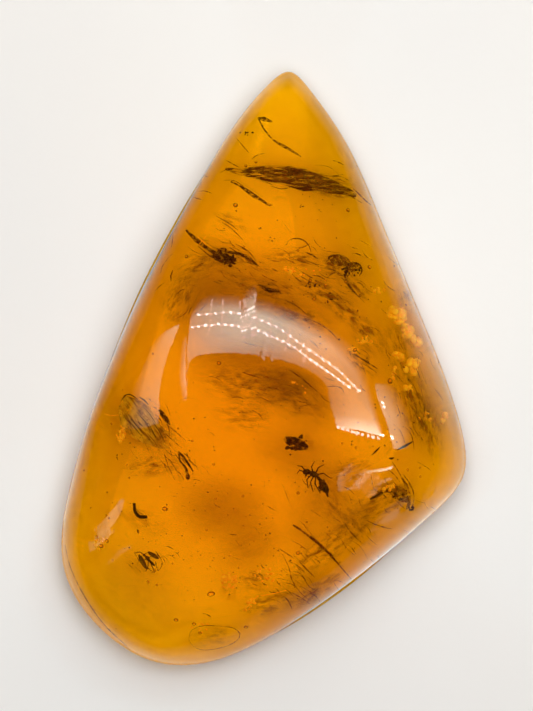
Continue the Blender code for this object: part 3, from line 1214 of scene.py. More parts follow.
@dataclass
class Tent:
    """The light tent: its lit panels, seen only where the stone mirrors them."""

    sight: Sight
    panels: tuple[Reflection, ...]
    lamps: tuple[LampRow, ...]
    edge: tuple[Pixel, ...]
    edge_profile: tuple[Pixel, ...] = (
        (0.01, 1.2), (0.05, 1.15), (0.12, 1.05), (0.22, 0.85), (0.4, 0.5), (0.65, 0.2), (1.0, 0.0),
    )
    edge_dark: tuple[float, ...] = (4.0, 8.0, 13.0, 19.0, 26.0)
    edge_tint: Colour = (0.64, 0.91, 1.0)
    edge_columns: int = 220
    lamp_tint: Colour = (1.0, 0.96, 0.9)
    reach: float = 270.0
    panel_step: float = 0.6
    lamp_lead: float = 2.0
    lamp_step: float = 0.4
    foot_lag: float = 8.0
    least_facing: float = 0.4
    columns: int = 48
    steps: int = 6

    def build(self) -> None:
        """Makes the panels and the rows of lamps."""
        for number, panel in enumerate(self.panels):
            self._panel(panel, f"tent_panel_{number}", self.reach + number * self.panel_step)
        draft = self._draft()
        for number, row in enumerate(self.lamps):
            self._lamp_row(draft, row, self.reach - self.lamp_lead - number * self.lamp_step)
        self._finish(draft, "tent_lamps")
        self._edge()

    def _edge(self) -> None:
        """Adds the tent's foot, mirrored all along the stone's edge: dark, with a lit band at the edge."""
        draft = self._draft()
        columns = self.edge_columns
        outline = self.sight.shape.outline
        across = np.array(smooth_line([*outline, outline[0]], columns + 1))[:-1]
        along = np.linspace(0, len(outline), columns, endpoint=False)
        places = range(len(self.edge) + 1)
        strengths, widths = (np.interp(along, places, [*part, part[0]]) for part in zip(*self.edge))
        crest = np.array(self.sight.shape.crest)
        ahead = np.roll(across, -1, axis=0) - np.roll(across, 1, axis=0)
        grid: list[list[Optional[int]]] = []
        rings = [(share, 0.0, level) for share, level in self.edge_profile]
        rings += [(1.0, extra, 0.0) for extra in self.edge_dark]
        for share, extra, level in rings:
            row: list[Optional[int]] = []
            for spot, step, strength, width in zip(across, ahead, strengths, widths):
                depth = share * width + extra
                toward = (crest - spot) / np.linalg.norm(crest - spot)
                facing = abs(float(np.cross(step / np.linalg.norm(step), toward)))
                spot = spot + toward * depth * PIXEL_MM / max(facing, self.least_facing)
                pixel = (ORIGIN_PIXEL[0] + spot[0] / PIXEL_MM, ORIGIN_PIXEL[1] - spot[1] / PIXEL_MM)
                point = self.sight.mirrored(pixel, self.reach + self.foot_lag, TENT_FLOOR * 0.5)
                glow = tuple(strength * level * part for part in self.edge_tint)
                row.append(self._spot(draft, point, glow, 1.0))
            grid.append(row)
        draft.faces += sheet(grid, closed=True)
        self._finish(draft, "tent_foot")

    def _spot(self, draft: Draft, point: Optional[Vector], glow: Colour, cover: float) -> Optional[int]:
        """Adds one point of a panel.

        Args:
            draft: the draft of the panel.
            point: the point, or None where the stone mirrors nothing.
            glow: its brightness and colour.
            cover: how far it hides what is behind.

        Returns:
            Its number, or None.
        """
        if point is None:
            return None
        draft.points.append(point)
        draft.colours["glow"].append(glow)
        draft.values["cover"].append(cover)
        return len(draft.points) - 1

    def _draft(self) -> Draft:
        """An empty draft that holds brightness and cover."""
        return Draft(values={"cover": []}, colours={"glow": []})

    def _finish(self, draft: Draft, name: str) -> None:
        """Makes the mesh, and hides it from all but mirrored rays.

        Args:
            draft: the draft of the panel.
            name: name of the piece of the stage.
        """
        made = draft.build(name, Panel(name), None)
        made.visible_camera = False
        made.visible_diffuse = False
        made.visible_transmission = False
        made.visible_volume_scatter = False
        made.visible_shadow = False

    def _panel(self, panel: Reflection, name: str, reach: float) -> None:
        """Adds one panel as a grid between its rows.

        Args:
            panel: the panel.
            name: name of the piece of the stage.
            reach: distance of the panel from the origin, in millimetres.
        """
        draft = self._draft()
        lines = [np.array(smooth_line(row, self.columns)) for row in panel.rows]
        grid: list[list[Optional[int]]] = []
        last = len(lines) - 1
        for step in range(last * self.steps + 1):
            at = step / self.steps
            low = min(int(at), last - 1)
            part = at - low
            row = []
            for column in range(self.columns):
                pixel = lines[low][column] * (1 - part) + lines[low + 1][column] * part
                point = self.sight.mirrored((pixel[0], pixel[1]), reach)
                along = column / (self.columns - 1) * (len(panel.gain) - 1)
                gain = float(np.interp(along, range(len(panel.gain)), panel.gain))
                glow = float(np.interp(at, range(last + 1), panel.glow)) * gain
                cover = float(np.interp(at, range(last + 1), panel.cover))
                row.append(self._spot(draft, point, tuple(glow * share for share in panel.tint), cover))
            grid.append(row)
        draft.faces += sheet(grid, closed=False)
        self._finish(draft, name)

    def _lamp_row(self, draft: Draft, row: LampRow, reach: float) -> None:
        """Adds a row of lamps, each a small square as the stone mirrors it.

        Args:
            draft: the draft of all the lamps.
            row: the row.
            reach: distance of the lamps from the origin, in millimetres.
        """
        for x, y in smooth_line(row.line, row.count):
            corners = [(x + dx * row.size, y + dy * row.size) for dx, dy in SQUARE]
            points = [self.sight.mirrored(corner, reach) for corner in corners]
            if None in points:
                continue
            draft.add(points, [(0, 1, 2, 3)])
            draft.colours["glow"] += [tuple(row.glow * part for part in self.lamp_tint)] * len(SQUARE)
            draft.values["cover"] += [1.0] * len(SQUARE)


@dataclass(frozen=True)
class SoftLamp:
    """Broad soft lamp aimed at the stone: power in watts, size and place in metres."""

    name: str
    power: float
    size: Pixel
    place: tuple[float, float, float]
    colour: Colour = (1.0, 0.975, 0.945)
    stone_only: bool = False

    def hang(self) -> None:
        """Makes the lamp, which the stone doesn't mirror."""
        lamp = bpy.data.lights.new(self.name, "AREA")
        lamp.shape = "RECTANGLE"
        lamp.size, lamp.size_y = self.size
        lamp.energy = self.power
        lamp.color = self.colour
        hung = bpy.data.objects.new(self.name, lamp)
        bpy.context.scene.collection.objects.link(hung)
        hung.location = self.place
        hung.rotation_euler = Vector(self.place).to_track_quat("Z", "Y").to_euler()
        hung.visible_camera = False
        hung.visible_glossy = False
        hung.visible_diffuse = not self.stone_only


@dataclass
class Studio:
    """Paper, lamps, surroundings and camera."""

    sight: Sight
    paper: Paper = Paper("white_card")
    lamps: tuple[SoftLamp, ...] = (
        SoftLamp("ceiling", 0.78, (0.34, 0.30), (0.02, 0.04, 0.26)),
        SoftLamp("back_wall", 0.42, (0.34, 0.20), (0.08, 0.27, 0.17)),
        SoftLamp("stone_glow", 0.32, (0.30, 0.30), (0.0, 0.0, 0.24), stone_only=True),
    )
    wall_colour: Colour = (1.0, 0.96, 0.91)
    wall_strength: float = 0.9
    dark_strength: float = 0.01

    def build(self) -> None:
        """Sets up everything round the object."""
        self._paper()
        for lamp in self.lamps:
            lamp.hang()
        self._surroundings()
        self._camera()

    def _paper(self) -> None:
        """Lays the card that the stone rests on."""
        draft = Draft()
        side, low = 1500.0, -0.05
        draft.add([Vector((x * side, y * side, low)) for x, y in SQUARE], [(0, 1, 2, 3)])
        draft.build("paper", self.paper, None)

    def _surroundings(self) -> None:
        """Makes the walls dark, but for a pale foot all round."""
        world = bpy.data.worlds.new("tent_walls")
        bpy.context.scene.world = world
        graph = Graph(world, "ShaderNodeOutputWorld")
        toward = graph.node("ShaderNodeTexCoord", output="Generated")
        height = graph.node("ShaderNodeSeparateXYZ", inputs={0: toward}, output="Z")
        foot = height.smooth(0.07, 0.0)
        lit = foot * self.wall_strength + self.dark_strength
        inputs = {"Color": self.wall_colour, "Strength": lit}
        background = graph.node("ShaderNodeBackground", inputs=inputs)
        graph.tree.links.new(background.socket, graph.output.inputs["Surface"])

    def _camera(self) -> None:
        """Puts the camera straight over the stone, as in the photo."""
        lens = bpy.data.cameras.new("camera")
        eye = bpy.data.objects.new("camera", lens)
        bpy.context.scene.collection.objects.link(eye)
        lens.sensor_width = SENSOR
        lens.sensor_fit = "AUTO"
        lens.lens = SENSOR * (EYE_HEIGHT - self.sight.shape.rim) / (FRAME_HEIGHT * PIXEL_MM)
        lens.clip_start = 0.01
        eye.location = self.sight.eye * MM
        bpy.context.scene.camera = eye
        bpy.context.scene.view_settings.view_transform = "Standard"


# What is where, in photo pixels

PANELS = (
    # The upper arch of the lit ceiling, from the dark opening in its middle out to its soft rim.
    Reflection(
        rows=(
            ((187.5, 392), (187, 378), (189, 364), (196, 356), (224, 352.5), (253, 354.5), (285, 361),
             (306, 369), (320, 377.5), (327, 388), (331, 406), (337, 427)),
            ((187.5, 350), (188, 342), (192, 334), (202, 328), (228, 326), (256, 330), (288, 341), (312, 352),
             (330, 366), (342, 381), (351, 400), (362, 431)),
            ((189, 328), (190, 322), (196, 314), (206, 309), (230, 310), (256, 315), (288, 325), (316, 339),
             (338, 354), (352, 369), (363, 391), (380, 436)),
            ((191, 316), (192, 310), (199, 300), (210, 293), (234, 293), (260, 298), (293, 307), (323, 322),
             (347, 338), (361, 355), (370, 381), (385, 438)),
        ),
        glow=(2.6, 5.9, 6.2, 0.0),
        cover=(1.0, 1.0, 1.0, 0.0),
        gain=(0.4, 0.5, 0.7, 0.95, 1.15, 1.25, 1.2, 1.05, 0.9, 0.72, 0.56, 0.44, 0.36, 0.33, 0.38, 0.6, 2.0),
    ),
    # The right wall.
    Reflection(
        rows=(
            ((375, 384), (377, 396), (383, 412), (388, 428), (394, 449)),
            ((381, 384), (386, 396), (393, 412), (399, 428), (402, 449)),
            ((396, 386), (404, 400), (410, 415), (413, 430), (410, 448)),
        ),
        glow=(3.6, 2.2, 0.2),
        cover=(1.0, 1.0, 0.0),
        gain=(0.5, 1.0, 1.2, 1.0, 1.1),
    ),
    # The left wall, brightest along its right edge.
    Reflection(
        rows=(
            ((179, 324), (174, 338), (167, 358), (161, 380), (158, 424)),
            ((168, 330), (160, 345), (151, 365), (144, 390), (141, 428)),
            ((158, 336), (146, 352), (135, 376), (128, 400), (122, 430)),
        ),
        glow=(2.2, 1.5, 0.1),
        cover=(1.0, 0.9, 0.0),
        gain=(1.7, 1.0, 0.85, 1.1, 0.6),
    ),
    # A narrow strip between the left wall and the ceiling.
    Reflection(
        rows=(
            ((182, 340), (180, 358), (179, 378), (182, 402)),
            ((187, 336), (185.6, 356), (185.8, 378), (187.4, 400)),
        ),
        glow=(0.5, 3.0),
        cover=(0.2, 1.0),
        gain=(0.6, 1.0, 1.6, 0.6),
    ),
    # The front wall, low on the left, and two faint scraps of it.
    Reflection(
        rows=(
            ((98, 545), (97.3, 535), (103, 523), (112, 510.7), (120.5, 499.5)),
            ((101, 545.5), (105, 535), (113, 525), (121, 512), (124.5, 500)),
        ),
        glow=(2.0, 1.4),
        cover=(1.0, 1.0),
        gain=(1.7, 1.1, 1.0, 0.9, 0.8),
    ),
    Reflection(
        rows=(((88.5, 542), (89.5, 552)), ((95.5, 541), (95.5, 550))),
        glow=(0.8, 0.8),
        cover=(1.0, 1.0),
    ),
    Reflection(rows=(((113, 553), (130, 545)), ((114, 557), (131, 549))), glow=(0.7, 0.5), cover=(1.0, 1.0)),
    # A faint frame low on the right.
    Reflection(
        rows=(
            ((339, 473.6), (360, 472), (384, 468.6), (392, 466.4)),
            ((339, 475), (360, 473.6), (384, 471), (393, 468.4)),
        ),
        glow=(5.5, 5.5),
        cover=(0.9, 0.9),
        gain=(0.6, 0.7, 1.2, 2.2),
    ),
    Reflection(
        rows=(((338, 474), (338, 491)), ((346, 474), (346, 491))),
        glow=(1.8, 0.8),
        cover=(0.9, 0.4),
    ),
    Reflection(
        rows=(
            ((346, 488), (362, 486), (378, 482), (391, 477)),
            ((346, 489.6), (362, 488), (378, 484.4), (392, 479)),
        ),
        glow=(3.0, 3.0),
        cover=(0.7, 0.7),
    ),
)

UPPER_ROW = (
    (199, 315), (225, 312.5), (244, 314), (263, 321), (282, 330),
    (301, 344), (320, 357), (340, 372), (359, 391),
)
LOWER_ROW = (
    (192, 327), (211, 325), (230, 325), (253, 329), (273, 337),
    (292, 346), (311, 360), (330, 373), (349, 387),
)

LAMPS = (
    LampRow(UPPER_ROW, 150, 0.7, 9.5),
    LampRow(LOWER_ROW, 150, 0.7, 9.5),
    LampRow(UPPER_ROW, 24, 1.1, 26.0),
    LampRow(LOWER_ROW, 27, 1.1, 26.0),
    LampRow(((212, 300), (210, 322), (208, 334)), 26, 0.6, 7.6),
    LampRow(((223, 298), (222, 320), (222, 334)), 28, 0.6, 7.6),
    LampRow(((240, 302), (243, 318), (242, 330)), 26, 0.8, 8.6),
    LampRow(((256, 310), (257, 324), (256, 336)), 22, 0.6, 7.6),
    LampRow(((270, 315), (271, 330), (269, 342)), 22, 0.6, 7.6),
    LampRow(((290, 327), (288, 340), (285, 350)), 22, 0.6, 7.4),
    LampRow(((309, 340), (306, 354), (302, 364)), 22, 0.6, 7.2),
    LampRow(((338, 427), (357, 433), (378, 438)), 9, 1.5, 14.0),
    LampRow(((381.5, 434.5), (382.5, 435)), 2, 1.1, 50.0),
    LampRow(((391.5, 436.5), (392.5, 438)), 2, 1.3, 30.0),
    LampRow(((383, 403), (384, 407)), 2, 1.2, 30.0),
)

# Brightness of the lit band along the stone's edge and its width in pixels, at each point of the outline.
EDGE = (
    (1.4, 13), (1.3, 11), (2.3, 16), (2.7, 20), (2.8, 25), (2.3, 30),
    (1.9, 29), (2.6, 24), (1.8, 24), (0.9, 20), (0.7, 28), (1.0, 28),
    (2.3, 14), (1.3, 15), (2.0, 16), (2.1, 15), (1.3, 9), (1.2, 13),
    (0.9, 15), (0.4, 13), (0.6, 12), (1.6, 11),
)

WISPS = (
    Wisp(Tone.RUST, 0.5, 4.0, ((236.5, 138), (243, 146), (249, 153))),
    Wisp(Tone.RUST, 0.5, 3.6, ((225.5, 160), (233, 164), (240, 168))),
    Wisp(Tone.RUST, 0.6, 3.6, ((333, 160.5), (338, 162), (344, 165))),
    Wisp(Tone.RUST, 0.9, 2.6, ((353, 188.5), (360, 195), (366, 201), (371, 205))),
    Wisp(Tone.RUST, 0.7, 2.4, ((346, 193), (354, 198), (362, 203))),
    Wisp(Tone.RUST, 0.5, 3.4, ((262, 169.5), (275, 167), (287, 170))),
    Wisp(Tone.RUST, 0.5, 3.4, ((268, 173.5), (280, 171.5), (291, 172.5), (301, 170), (308, 173))),
    Wisp(Tone.RUST, 0.5, 3.4, ((292, 177), (300, 174), (310, 174.5))),
    Wisp(Tone.RUST, 0.4, 3.4, ((290, 184), (305, 186), (330, 189), (352, 196))),
    Wisp(Tone.BROWN, 0.5, 3.0, ((198, 191.5), (205, 191), (212, 193.5))),
    Wisp(Tone.BROWN, 0.5, 3.0, ((200, 175), (204, 175.5), (208, 177))),
    Wisp(Tone.RUST, 0.5, 3.0, ((190, 196), (196, 198), (203, 200))),
    Wisp(Tone.BROWN, 0.6, 4.0, ((216, 216), (227, 222), (238, 230))),
    Wisp(Tone.BROWN, 0.5, 4.0, ((222, 222), (232, 229), (243, 240))),
    Wisp(Tone.BROWN, 0.8, 3.5, ((229, 247), (239.6, 253.8), (250.4, 259.2), (260, 267))),
    Wisp(Tone.BROWN, 0.6, 3.5, ((236, 244), (248, 251), (256, 261))),
    Wisp(Tone.BROWN, 0.5, 3.5, ((198, 246), (210, 256), (222, 262))),
    Wisp(Tone.RUST, 0.6, 3.3, ((173, 270), (171, 275), (171, 281))),
    Wisp(Tone.BROWN, 0.7, 4.0, ((286, 245), (290, 240), (297, 238.4), (304, 240.5), (309, 246), (311, 252))),
    Wisp(Tone.BROWN, 0.9, 3.6, ((305, 252), (312, 255), (318, 259))),
    Wisp(Tone.BROWN, 0.6, 3.6, ((326, 262), (332, 256), (341, 255), (348, 259), (351, 265), (346, 269),
                                (338, 267))),
    Wisp(Tone.BROWN, 0.9, 3.6, ((349, 266), (354, 263), (360, 265), (362, 271), (359, 276))),
    Wisp(Tone.BROWN, 0.6, 3.6, ((312, 262), (322, 268), (334, 270), (343, 276))),
    Wisp(Tone.BROWN, 0.7, 3.6, ((345, 282), (351, 289), (357.5, 295.4), (365, 303))),
    Wisp(Tone.BROWN, 0.6, 3.6, ((300, 276), (309, 281), (319, 288))),
    Wisp(Tone.BROWN, 0.6, 3.6, ((327, 278), (333, 273), (339, 274))),
    Wisp(Tone.BLACK, 0.7, 4.0, ((258, 284), (264, 287), (270, 291), (281, 291.5))),
    Wisp(Tone.BROWN, 0.6, 4.0, ((285, 300), (297, 306), (308, 316))),
    Wisp(Tone.BROWN, 0.6, 4.0, ((304, 318), (318, 323), (331, 332), (338, 340))),
    Wisp(Tone.BROWN, 0.9, 4.2, ((355, 354), (362, 359), (370, 364), (378, 369))),
    Wisp(Tone.BROWN, 0.6, 4.2, ((352, 345), (358, 352), (363, 358))),
    Wisp(Tone.BROWN, 0.5, 5.0, ((230, 398), (238, 397), (245, 399.5))),
    Wisp(Tone.BROWN, 0.7, 5.0, ((290, 370), (300, 377), (312, 387), (318, 392))),
    Wisp(Tone.BROWN, 0.6, 5.0, ((252, 410), (259, 414), (263, 420))),
    Wisp(Tone.BROWN, 0.5, 5.0, ((327, 387), (334, 386), (341, 388), (344, 393))),
    Wisp(Tone.BLACK, 0.6, 3.1, ((124.5, 395.5), (130, 394.5), (137.5, 399))),
    Wisp(Tone.BLACK, 0.7, 3.1, ((139, 397), (144, 400), (148.5, 404.5))),
    Wisp(Tone.BLACK, 0.5, 3.1, ((121, 401), (124, 397), (126.5, 394.5))),
    Wisp(Tone.BLACK, 0.35, 3.1, ((126, 403), (128, 406), (130, 409))),
    Wisp(Tone.BLACK, 0.4, 3.1, ((128.5, 420), (135, 428), (141.5, 436))),
    Wisp(Tone.BLACK, 0.4, 3.1, ((131, 418), (138, 427), (144, 434))),
    Wisp(Tone.BLACK, 0.4, 3.1, ((137, 412), (144, 420), (151, 430))),
    Wisp(Tone.BLACK, 0.45, 3.1, ((149, 424), (153, 432), (157, 440))),
    Wisp(Tone.BLACK, 0.4, 3.1, ((152, 421), (159, 431), (166, 444))),
    Wisp(Tone.BLACK, 0.4, 3.1, ((143, 407), (149, 413), (156, 424))),
    Wisp(Tone.BROWN, 0.5, 3.1, ((160, 428), (170, 438), (182, 448))),
    Wisp(Tone.BROWN, 0.5, 3.1, ((166, 424), (176, 432), (186, 441))),
    Wisp(Tone.BLACK, 0.7, 3.1, ((159, 409), (163, 415), (167, 421), (170, 425))),
    Wisp(Tone.BLACK, 0.5, 3.2, ((175, 454), (181, 461.5), (187, 469), (188.5, 476))),
    Wisp(Tone.BLACK, 0.5, 3.2, ((178, 452), (183, 455), (188, 463), (193, 471.5))),
    Wisp(Tone.BROWN, 0.4, 3.2, ((169, 459), (175, 468), (180, 478))),
    Wisp(Tone.BROWN, 0.4, 3.2, ((166, 462), (171, 472), (175, 480))),
    Wisp(Tone.BLACK, 1.5, 3.0, ((134, 503), (134.3, 509), (136.4, 514), (140, 517), (147, 517.2))),
    Wisp(Tone.RUST, 1.2, 3.0, ((137.4, 529), (138, 531), (138.4, 533.5))),
    Wisp(Tone.BROWN, 0.45, 3.0, ((134.4, 552), (138, 559), (143, 566.3))),
    Wisp(Tone.BROWN, 0.45, 3.0, ((141.8, 553), (143, 561), (146, 569))),
    Wisp(Tone.BLACK, 0.9, 3.0, ((145.5, 557), (149.5, 561), (154, 565.5))),
    Wisp(Tone.BROWN, 0.4, 3.0, ((144.7, 564), (149, 569), (155, 573))),
    Wisp(Tone.BROWN, 0.4, 3.0, ((155, 550.3), (157, 553), (160, 557))),
    Wisp(Tone.RUST, 0.8, 3.2, ((293, 525), (305, 533), (318, 543), (330, 555), (340, 566), (352, 580))),
    Wisp(Tone.RUST, 0.45, 3.2, ((283, 555), (289, 568), (292, 580), (300, 592), (312, 602))),
    Wisp(Tone.RUST, 0.5, 2.6, ((290, 592), (300, 597), (310, 604))),
    Wisp(Tone.RUST, 0.5, 2.6, ((300, 586), (309, 591), (318, 598))),
    Wisp(Tone.BLACK, 0.9, 3.0, ((370, 499.5), (376, 496), (383.5, 490.8))),
    Wisp(Tone.BROWN, 0.5, 3.2, ((392, 462), (397, 469), (402, 478), (405, 486))),
    Wisp(Tone.BROWN, 0.6, 3.0, ((403.4, 474.5), (410, 484), (414, 495), (413, 505))),
    Wisp(Tone.BLACK, 0.8, 3.0, ((372, 455), (376, 451), (380, 447))),
    Wisp(Tone.BLACK, 1.1, 3.0, ((397, 450), (404, 446.5), (413, 441.5))),
    Wisp(Tone.BLACK, 0.9, 3.0, ((389, 458), (392, 458.5), (394, 457.5))),
    Wisp(Tone.PALE, 0.5, 3.0, ((104, 413), (110, 415.5), (119, 415))),
    Wisp(Tone.PALE, 0.8, 2.4, ((243, 611), (250, 603), (258, 596))),
    Wisp(Tone.PALE, 0.5, 2.4, ((258, 596), (272, 594), (287, 590))),
    Wisp(Tone.PALE, 0.6, 3.4, ((286, 268.5), (291, 270.5), (296, 271.5))),
    Wisp(Tone.PALE, 0.5, 3.4, ((198, 237), (202, 241), (206, 245))),
    Wisp(Tone.PALE, 0.5, 3.4, ((206, 236), (202, 241), (198.5, 245))),
    Wisp(Tone.PALE, 0.5, 4.6, ((360, 345), (366, 342), (372, 343))),
    # Painted shade: the dark line that the edge of the flat base makes just inside the lower-left rim, drawn
    # as a brown wisp.
    Wisp(Tone.BROWN, 0.5, 1.3, ((65, 545), (70, 566), (82, 592), (102, 622), (130, 650))),
    Wisp(Tone.RUST, 0.5, 3.0, ((189, 640), (191, 631), (202, 626), (218, 626), (233, 628), (240, 634),
                               (235, 642), (220, 648), (203, 650), (193, 646), (189, 640))),
    Wisp(Tone.RUST, 0.4, 3.0, ((137, 566), (140, 558), (147, 553), (156, 554), (162, 561), (160, 569),
                               (151, 573))),
)

STRAY_HAIRS = (
    Cluster((268, 268), (90, 44), 38, 9, 3.8, 24),
    Cluster((228, 256), (30, 20), 14, 8, 3.5, 28),
    Cluster((335, 280), (50, 34), 24, 8, 3.5, 34),
    Cluster((300, 175), (110, 14), 19, 12, 4.2, 9),
    Cluster((365, 350), (44, 50), 19, 9, 3.6, 46),
    Cluster((418, 400), (30, 80), 24, 12, 3.1, 68),
    Cluster((180, 290), (40, 60), 10, 9, 3.6, -60),
    Cluster((260, 388), (90, 44), 24, 8, 4.4, 14),
    Cluster((152, 428), (40, 30), 25, 8, 3.0, 56),
    Cluster((180, 462), (34, 22), 12, 8, 3.0, 58),
    Cluster((392, 494), (40, 26), 16, 8, 2.9, 50),
    Cluster((340, 530), (90, 50), 28, 11, 2.8, 44),
    Cluster((300, 590), (60, 26), 19, 10, 2.0, 34),
    Cluster((255, 580), (50, 30), 11, 7, 2.4, 30),
    Cluster((150, 562), (24, 24), 8, 7, 3.0, 50),
    Cluster((250, 500), (180, 120), 22, 5, 3.2, 30),
)

# Broad brown sheets: partly real haze in the amber, partly painted shade that darkens the middle of the stone
# round the dark opening of the mirrored arch.
HAZE_AND_SHADE = (
    Cloud((250, 322), (92, 84), 14, 3.7, 0.58),
    Cloud((205, 290), (50, 40), -55, 3.4, 0.36),
    Cloud((305, 396), (60, 40), 40, 3.3, 0.36),
    Cloud((302, 456), (64, 34), 14, 3.5, 0.24),
    Cloud((326, 512), (74, 50), -48, 3.0, 0.26),
    Cloud((225, 508), (62, 42), 10, 3.6, 0.38),
    Cloud((425, 410), (30, 56), 0, 3.2, 0.22),
    Cloud((250, 545), (44, 30), -20, 3.4, 0.3),
    Cloud((300, 590), (50, 24), -35, 2.0, 0.3),
    Cloud((130, 596), (74, 62), 30, 2.2, 0.16),
)

BROWN_CLOUDS_AND_SHADE = (
    Cloud((298, 178), (74, 13), 9, 4.3, 1.0),
    Cloud((330, 190), (40, 9), 14, 4.0, 1.0),
    Cloud((232, 222), (26, 9), 25, 4.0, 0.7),
    Cloud((224, 258), (24, 12), 15, 3.4, 1.0),
    Cloud((252, 262), (30, 8), 27, 3.3, 1.0),
    Cloud((196, 266), (26, 18), -20, 3.4, 0.8),
    Cloud((294, 258), (34, 11), 8, 3.7, 0.9),
    Cloud((337, 266), (30, 15), 12, 3.4, 1.0),
    Cloud((355, 288), (26, 12), 40, 3.4, 0.8),
    Cloud((262, 288), (52, 14), 10, 4.2, 0.9),
    Cloud((322, 292), (36, 16), 25, 3.4, 1.0),
    Cloud((298, 316), (48, 14), 20, 3.8, 0.8),
    Cloud((346, 312), (32, 14), 38, 3.4, 0.9),
    Cloud((368, 336), (30, 16), 48, 3.4, 0.9),
    Cloud((362, 362), (24, 12), 38, 3.8, 1.0),
    # These three darken the zone inside the dark opening of the mirrored arch: partly cloud, partly painted
    # shade.
    Cloud((255, 384), (66, 28), 8, 4.4, 0.8),
    Cloud((300, 398), (42, 24), 35, 3.6, 0.6),
    Cloud((245, 415), (40, 22), 10, 3.8, 0.5),
    Cloud((180, 300), (34, 22), -65, 3.6, 0.7),
    Cloud((408, 300), (20, 12), 60, 3.2, 0.7),
    Cloud((412, 400), (50, 22), 70, 3.2, 0.9),
    Cloud((430, 430), (36, 16), 80, 3.0, 0.8),
    Cloud((400, 350), (34, 18), 70, 3.1, 0.7),
    Cloud((152, 466), (36, 14), -8, 2.7, 0.8),
    Cloud((150, 425), (40, 26), 50, 2.9, 0.7),
    Cloud((385, 500), (40, 22), -28, 2.6, 0.95),
    Cloud((352, 470), (34, 16), -20, 3.0, 0.6),
    Cloud((330, 545), (66, 18), -38, 2.6, 0.8),
    Cloud((345, 515), (50, 20), 45, 2.8, 0.6),
    Cloud((268, 604), (36, 14), -15, 1.8, 0.8),
    Cloud((318, 590), (40, 11), -32, 1.6, 0.85),
    Cloud((255, 581), (19, 14), 10, 2.2, 0.9),
    Cloud((145, 520), (30, 16), 30, 3.0, 0.4),
    Cloud((214, 637), (30, 14), -6, 2.6, 0.4),
)

SPECKS = (
    Cluster((228, 260), (9, 6), 26, 2.2, 3.4, 10),
    Cluster((352, 270), (10, 7), 18, 1.8, 3.4),
    Cluster((313, 284), (9, 5), 10, 1.6, 3.4, 20),
    Cluster((332, 298), (6, 6), 8, 1.6, 3.4),
    Cluster((247, 132), (7, 3.5), 6, 1.6, 4.0),
    Cluster((302, 206), (3, 2), 5, 0.9, 4.0),
    Cluster((296, 443), (11, 7), 34, 2.0, 3.1, -25),
    Cluster((309, 473), (4, 4), 8, 1.8, 3.0),
    Cluster((323, 486), (4, 8), 10, 1.6, 3.0, 30),
    Cluster((400, 495), (10, 8), 16, 1.7, 3.0),
    Cluster((412, 508), (4, 3), 8, 1.8, 3.0),
    Cluster((240, 540), (130, 70), 110, 0.75, 3.0),
    Cluster((270, 440), (120, 60), 60, 0.75, 4.0),
    Cluster((290, 230), (70, 60), 50, 0.8, 4.0),
    Cluster((400, 410), (30, 50), 30, 0.9, 3.4),
    Cluster((330, 320), (60, 40), 40, 0.9, 4.0),
    Cluster((117, 458), (3, 4), 4, 1.0, 3.0),
    Cluster((137, 430), (16, 18), 20, 0.7, 3.1),
)

FLAKES = (
    Cluster((397, 315), (10, 5), 10, 6.2, 3.2, 45),
    Cluster((407, 329), (11, 4), 10, 6.4, 3.0, 50),
    Cluster((417, 342), (8, 3), 6, 5.4, 2.9, 45),
    Cluster((397, 357), (4, 6), 6, 5.6, 3.2),
    Cluster((394, 372), (2, 7), 5, 4.6, 3.2),
    Cluster((412, 366), (9, 6), 8, 6.6, 3.1, 10),
    Cluster((378, 290), (7, 3), 6, 3.0, 3.2, 10),
    Cluster((408, 389), (4, 4), 3, 4.6, 3.0),
    Cluster((444, 419), (3, 6), 5, 3.4, 2.6),
    Cluster((366, 340), (9, 4), 9, 2.4, 4.4),
    Cluster((353, 350), (4, 3), 8, 2.0, 4.4),
    Cluster((290, 270), (7, 3), 10, 2.4, 3.7, 10),
    Cluster((315, 276), (22, 9), 14, 1.3, 3.6, 10),
    Cluster((121, 434), (4, 9), 40, 1.8, 3.1, 10),
    Cluster((100, 543), (6, 7), 20, 1.8, 3.2),
    Cluster((228, 582), (8, 8), 26, 2.4, 2.6),
    Cluster((265, 575), (14, 7), 18, 1.8, 2.6),
    Cluster((250, 604), (8, 3), 14, 2.0, 2.4, -50),
    Cluster((200, 628), (12, 6), 12, 1.3, 2.6),
    Cluster((389, 488), (6, 3), 12, 2.2, 3.2, -30),
    Cluster((305, 385), (16, 8), 8, 1.4, 5.0),
    Cluster((425, 420), (6, 9), 12, 2.4, 2.8),
)


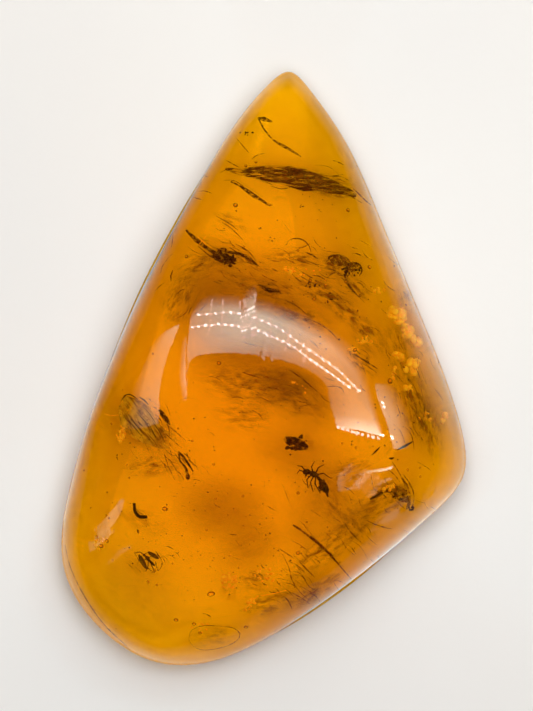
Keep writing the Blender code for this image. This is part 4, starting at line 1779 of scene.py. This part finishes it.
def inclusion_finishes() -> dict[str, Finish]:
    """The finish of each sealed-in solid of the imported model.

    Returns:
        The finishes by name of the solid.
    """
    dark = Scrap("dark_scrap", (0.07, 0.022, 0.01), (0.3, 0.1, 0.035), 4.0, gaps=0.85)
    straw = Scrap("straw_scrap", (0.22, 0.09, 0.02), (0.65, 0.4, 0.1), 3.0, gaps=0.9)
    bark = Scrap("bark", (0.1, 0.025, 0.012), (0.32, 0.11, 0.04), 1.7, (0.5, 2.4, 1.0), gaps=0.9)
    black = Scrap("black_chitin", (0.012, 0.005, 0.004), (0.09, 0.035, 0.015), 5.0, roughness=0.45, coat=0.4)
    brown = Scrap("brown_chitin", (0.05, 0.015, 0.006), (0.2, 0.08, 0.03), 6.0, roughness=0.45, coat=0.3)
    low, high = (Vector(corner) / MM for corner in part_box("torn_membrane"))
    middle = (low + high) / 2
    film = Film("membrane", (0.4, 0.22, 0.12), (1.0, 0.82, 0.62), (middle.x, middle.y), (2.7, 1.7))
    worn_by = (
        (bark, ("bark_sliver", "red_fibre")),
        (dark, ("seed_scale", "twig", "debris_clump_left")),
        (dark, ("small_scrap", "lens_scrap", "forked_leg", "pellet")),
        (straw, ("debris_clump_right", "husk_fragment")),
        (film, ("torn_membrane",)),
        (black, ("ant", "curved_fibre")),
        (brown, ("winged_midge",)),
    )
    return {node: finish for finish, nodes in worn_by for node in nodes}


def wisp_finishes() -> dict[Tone, tuple[Finish, str]]:
    """The finish of each tone of wisp, with a slot name that only puts its piece on the body.

    Returns:
        The finishes and slots by tone.
    """
    black = Scrap("black_wisp", (0.01, 0.005, 0.004), (0.06, 0.025, 0.015), 5.0)
    brown = Scrap("brown_wisp", (0.1, 0.035, 0.012), (0.3, 0.12, 0.04), 3.0, gaps=0.9)
    rust = Scrap("rust_wisp", (0.16, 0.04, 0.015), (0.36, 0.12, 0.04), 3.0, gaps=0.9)
    return {
        Tone.BLACK: (black, "black_chitin"),
        Tone.BROWN: (brown, "dark_scrap"),
        Tone.RUST: (rust, "bark"),
        # Pale cracks wear the flake finish, so they carry its weak painted glow.
        Tone.PALE: (Flake("pale_crack"), "straw_scrap"),
    }


def main() -> None:
    """Builds the object and the studio round it."""
    logging.basicConfig(level=logging.INFO, format="%(name)s: %(message)s")
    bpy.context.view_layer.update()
    amber = ClearAmber("clear_amber")
    sight = Sight(StoneShape(), amber.refraction)
    Stone(sight, amber).build()
    for node, finish in inclusion_finishes().items():
        dress(node, finish)
    Wisps(sight, wisp_finishes(), WISPS, STRAY_HAIRS).build()
    # Brown clouds, three of which are partly painted shade.
    smoke_and_shade = SmokeAndShade("brown_smoke_and_shade", (0.1, 0.03, 0.008), (0.3, 0.12, 0.03))
    Clouds(sight, "brown_clouds_and_shade", smoke_and_shade, "dark_scrap", BROWN_CLOUDS_AND_SHADE).build()
    # Haze that is partly painted shade over the middle of the stone.
    haze_and_shade = SmokeAndShade("brown_haze_and_shade", (0.12, 0.03, 0.004), (0.3, 0.1, 0.01), 0.6, 0.7, 2.0)
    Clouds(sight, "brown_haze_and_shade", haze_and_shade, "dark_scrap", HAZE_AND_SHADE, rings=8, segments=40).build()
    speck = Scrap("dark_speck", (0.02, 0.008, 0.004), (0.12, 0.05, 0.02))
    Grains(sight, "dark_specks", speck, "dark_scrap", SPECKS).build()
    # Gold flakes: real cracks, made bright by the flake finish's weak painted glow.
    flake = Flake("gold_flake")
    Grains(sight, "gold_flakes", flake, "straw_scrap", FLAKES, flatness=0.22, seed=9, roughness=0.1).build()
    Tent(sight, PANELS, LAMPS, EDGE).build()
    Studio(sight).build()


if __name__ == "__main__":
    main()
